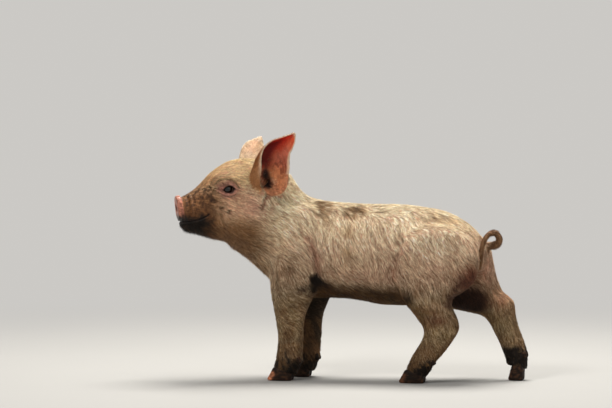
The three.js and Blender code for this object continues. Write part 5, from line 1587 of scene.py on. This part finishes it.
rng = np.random.default_rng(11)
skin.data.calc_loop_triangles()
corners = np.zeros(len(skin.data.loop_triangles) * 3, np.int32)
skin.data.loop_triangles.foreach_get("vertices", corners)
corners = corners.reshape(-1, 3)
a, b, c = points[corners[:, 0]], points[corners[:, 1]], points[corners[:, 2]]
area = np.linalg.norm(np.cross(b - a, c - a), axis=1) / 2
vertex_plan = coat_plan(points, way, ears)
streak = streaks_along(points, vertex_plan[0], STREAK_REACH)
paint(skin.data, "tint", under_hair * (1 + 0.10 * (1 - ears[0]) * streak)[:, None])
thick = vertex_plan[4][corners].mean(1) * area
ground = rng.choice(len(corners), HAIRS, p=thick / thick.sum())
u, v = rng.random(HAIRS), rng.random(HAIRS)
flip = u + v > 1
u[flip], v[flip] = 1 - u[flip], 1 - v[flip]
share = np.stack([1 - u - v, u, v], 1)


def at_roots(values):
    """What is known at the skin's vertices, at each hair's root."""
    picked = values[corners[ground]]
    return (picked * (share if values.ndim == 1 else share[:, :, None])).sum(1)


root = at_roots(points)
stand = unit(at_roots(way))
lie = at_roots(vertex_plan[0])
lie = unit(lie - stand * (lie * stand).sum(1)[:, None])
length, width, lift = (at_roots(values) for values in vertex_plan[1:4])
on_head = ramp(to_head(root)[:, 0], 10, 46)
streak = streaks_along(root, lie, STREAK_REACH) * (1 - 0.5 * on_head)
stray = rng.normal(0, 0.16, HAIRS)
wild = rng.random(HAIRS) < WILD_SHARE
stray[wild] *= 3
lie = lie * np.cos(stray)[:, None] + np.cross(stand, lie) * np.sin(stray)[:, None]
length = length * rng.uniform(0.6, 1.15, HAIRS)
lift = lift * rng.uniform(0.3, 1.3, HAIRS) + 0.8 * wild
width = width * rng.uniform(0.7, 1.2, HAIRS)

skin_tree = BVHTree.FromPolygons([Vector(place) for place in points.tolist()], corners.tolist())


def over_skin(p, rise):
    """Lays points on the skin and lifts them off it."""
    spots, ways = np.empty((len(p), 3)), np.empty((len(p), 3))
    find = skin_tree.find_nearest
    for i, place in enumerate(p.tolist()):
        spots[i], ways[i] = find(place)[:2]
    return spots + ways * rise[:, None]


# A hair runs from its root by its middle to its tip, each laid over the skin beneath
middle = over_skin(root + lie * (length * 0.5)[:, None], 0.16 + 0.45 * lift)
bend = unit(middle - root)
tip = over_skin(middle + bend * (length * 0.52)[:, None], 0.1 + lift)
# Tips of neighbours lean together into little locks
leaders = KDTree(LEADERS)
for i in range(LEADERS):
    leaders.insert(tip[i], i)
leaders.balance()
chosen = np.array([leaders.find(place)[1] for place in tip.tolist()])
pull = rng.uniform(0.1, 0.4, HAIRS) * (np.linalg.norm(tip - tip[chosen], axis=1) < LOCK_REACH)
tip += (tip[chosen] - tip) * pull[:, None]
roll = rng.normal(0, 0.5, HAIRS)
across = np.cross(stand, bend)
flat = unit(across * np.cos(roll)[:, None] + stand * np.sin(roll)[:, None]) * (width / 2)[:, None]
base = root - stand * ROOT_DEPTH


def blades(base, middle, tip, flat):
    """Five points for each hair: two at its base, two at its middle and one at its tip."""
    return np.stack([base - flat, base + flat, middle + flat * 0.8, middle - flat * 0.8, tip], 1)


strand = blades(base, middle, tip, flat)
tint = at_roots(colour)
# Hairs stay paler where the skin is free of dirt and painted shade
free_of_dirt_and_shade = 1 - np.clip(at_roots(dirt_and_shade) * 1.1, 0, 1)
hair = blend(tint, PALE, (0.02 + 0.53 * free_of_dirt_and_shade) * rng.uniform(0.0, 1.3, HAIRS))
hair *= 1 + np.outer(0.15 * streak + rng.normal(0, 0.13, HAIRS), (0.9, 1.0, 1.1))
# Paler tips: scruffy pale hairs on the belly, painted rim light on the forelegs' edges and the throat
scruff_and_rim_light = sum(spot(root, at, size) for at, size in SCRUFF_AND_RIM_LIGHT) * (rng.random(HAIRS) < 0.55)
fade = blend(hair, PALE, 0.03 + 0.35 * free_of_dirt_and_shade + 0.6 * np.minimum(scruff_and_rim_light, 1))
# Darker at the base and paler at the tip: painted shade down among the hairs and painted light on their tips
tone = np.stack([hair * 0.70, hair * 0.70, hair * 0.96, hair * 0.96, fade * 1.12], 1)
place = box_unwrap(root, stand)


def lashes(side):
    """Blades along the edge of an upper lid."""
    t = np.linspace(-0.85, 0.9, 46)
    tilt, room = lid_line(t)
    ahead = t * np.where(t > 0, LID_OPENING["front"], LID_OPENING["back"])
    up = tilt + LID_OPENING["rise"] * room + 0.5
    bulge = np.sqrt((EYE["radius"] + LID_THICK - 0.5) ** 2 - ahead**2 - up**2)
    foot = eye_centre(side) + np.stack([ahead, -side * bulge, up], 1)
    way = np.stack([0.35 * t - 0.25, np.full(len(t), -side * 0.9), 0.5 - 0.3 * np.abs(t)], 1)
    way = unit(way + rng.normal(0, 0.12, way.shape))
    reach = rng.uniform(2.6, 4.4, len(t))[:, None]
    end = foot + way * reach * 0.9 + (0, 0, 0.9)
    rows = blades(foot, foot + way * reach * 0.5, end, np.array((0.09, 0, 0.03)))
    return from_head(rows.reshape(-1, 3)).reshape(-1, 5, 3)


for side in (LEFT, RIGHT):
    rows = lashes(side)
    strand = np.concatenate([strand, rows])
    tone = np.concatenate([tone, np.tile(np.array(LASH, float), (len(rows), 5, 1))])
    root = np.concatenate([root, rows[:, 0]])
    place = np.concatenate([place, box_unwrap(rows[:, 0], np.tile((0.0, side, 0.0), (len(rows), 1)))])
look = tinted_material("piglet_coat", 500, (0.88, 1.1), 0.55, 0.12)[0]
x, y, z = root.T
# Each hair goes to the first piece that takes in its root
pieces = [
    ("coat_head", to_head(root)[:, 0] > 22),
    ("coat_fore_legs", (x < 10) & (z < 122)),
    ("coat_hind_legs", (x >= 10) & (z < 108)),
    ("coat_neck", x < -48),
    ("coat_back_left", (y < 0) & (x < 76)),
    ("coat_back_right", (y >= 0) & (x < 76)),
    ("coat_rump_left", y < 0),
    ("coat_rump_right", y >= 0),
]
BLADE_FACES = np.array([(0, 1, 2), (0, 2, 3), (3, 2, 4)])
BLADE_PATCH = np.array([(0, 0), (1, 0), (1, 0.6), (0, 0.6), (0.5, 1)]) * 0.003  # in the flat layout
free = np.ones(len(root), bool)
for name, where in pieces:
    rows = np.nonzero(free & where)[0]
    free &= ~where
    triangles = (np.arange(len(rows))[:, None, None] * 5 + BLADE_FACES).reshape(-1, 3)
    coat = make_mesh(name, strand[rows].reshape(-1, 3), triangles)
    paint(coat.data, "tint", tone[rows].reshape(-1, 3))
    at = (place[rows][:, None] + BLADE_PATCH).reshape(-1, 2)[triangles.ravel()]
    coat.data.uv_layers.new(name="OFBake").data.foreach_set("uv", at.astype(np.float32).ravel())
    coat.data.materials.append(look)
    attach(coat, "root")

# ------------------------------------------------------------------ studio

PALE_STUDIO = (0.60, 0.585, 0.56, 1)


def sight_rays(g):
    """An output that is 1 for what the camera sees, directly, in a mirror or through glass."""
    rays = g.add("LightPath").outputs
    seen = rays["Is Camera Ray"]
    for kind in ("Is Glossy Ray", "Is Transmission Ray"):
        seen = g.add("Math", {0: seen, 1: rays[kind]}, operation="MAXIMUM").outputs["Value"]
    return seen


floor_look, g, shader = new_material("studio_floor")
where = g.add("TexCoord").outputs["Object"]
grit = g.add("TexNoise", {"Vector": where, "Scale": 3}).outputs["Fac"]
pale = g.scaled((0.43, 0.42, 0.40), g.span(grit, 0, 1, 0.97, 1.03))
g.feed(shader, {"Base Color": pale, "Roughness": 0.9, "Specular IOR Level": 0.1})
# Far from the animal the floor runs into the backdrop's own tone
reach = g.add("VectorMath", {0: where}, operation="LENGTH").outputs["Value"]
far = g.span(reach, 0.35, 1.5, 0, 1, interpolation_type="SMOOTHSTEP")
faded = g.add("Math", {0: far, 1: sight_rays(g)}, operation="MULTIPLY").outputs["Value"]
glow = g.add("Emission", {"Color": PALE_STUDIO}).outputs["Emission"]
both = g.add("MixShader", {"Fac": faded, 1: shader.outputs["BSDF"], 2: glow}).outputs["Shader"]
g.feed(g.nodes["Material Output"], {"Surface": both})

bpy.ops.mesh.primitive_plane_add(size=60, location=(0, 0, -0.0002))
floor = bpy.context.object
floor.name = "floor"
floor.data.materials.append(floor_look)

world = bpy.data.worlds.new("studio")
bpy.context.scene.world = world
world.use_nodes = True
g = Graph(world.node_tree)
dome = g.nodes["Background"]
g.feed(dome, {"Color": (0.95, 0.95, 0.94, 1), "Strength": 0.34})
backdrop = g.add("Background", {"Color": PALE_STUDIO}).outputs["Background"]
both = {"Fac": sight_rays(g), 1: dome.outputs["Background"], 2: backdrop}
g.feed(g.nodes["World Output"], {"Surface": g.add("MixShader", both).outputs["Shader"]})


def lamp(name, place, size, power, colour):
    """A round lamp that points at the animal's middle."""
    data = bpy.data.lights.new(name, "AREA")
    data.shape = "DISK"
    data.size, data.energy, data.color = size, power, colour
    light = bpy.data.objects.new(name, data)
    light.location = place
    light.rotation_euler = (Vector((0, 0, 0.16)) - Vector(place)).to_track_quat("-Z", "Y").to_euler()
    bpy.context.collection.objects.link(light)


lamp("top", (0.1, 0.45, 1.95), 1.1, 61, (1.0, 0.98, 0.94))
lamp("key", (-0.9, -1.8, 1.9), 0.7, 27, (1.0, 0.98, 0.95))
lamp("fill", (1.6, -1.8, 0.9), 1.6, 4.5, (1.0, 0.98, 0.95))

# A long lens, a little above the animal and a little behind square on to its left side
AZIMUTH, ELEVATION, DISTANCE = math.radians(10), math.radians(5.5), 4.5
FRAME_WIDTH = 0.799884  # what the picture takes in at the animal, in metres
AIM_LEFT, AIM_UP = 0.050973, 0.228725  # how far the picture's middle lies from the animal's origin
SENSOR = 36
level = math.cos(ELEVATION)
right = Vector((math.cos(AZIMUTH), math.sin(AZIMUTH), 0))
back = Vector((math.sin(AZIMUTH) * level, -math.cos(AZIMUTH) * level, math.sin(ELEVATION)))
origin = Vector(SHIFT / 1000)
camera_data = bpy.data.cameras.new("camera")
camera = bpy.data.objects.new("camera", camera_data)
bpy.context.collection.objects.link(camera)
camera.location = origin + back * DISTANCE
aim = origin - right * AIM_LEFT + back.cross(right) * AIM_UP
camera.rotation_euler = (aim - camera.location).to_track_quat("-Z", "Y").to_euler()
camera_data.sensor_width = SENSOR
camera_data.lens = SENSOR * DISTANCE / FRAME_WIDTH
camera_data.clip_end = 50
bpy.context.scene.camera = camera
bpy.context.scene.view_settings.view_transform = "Standard"
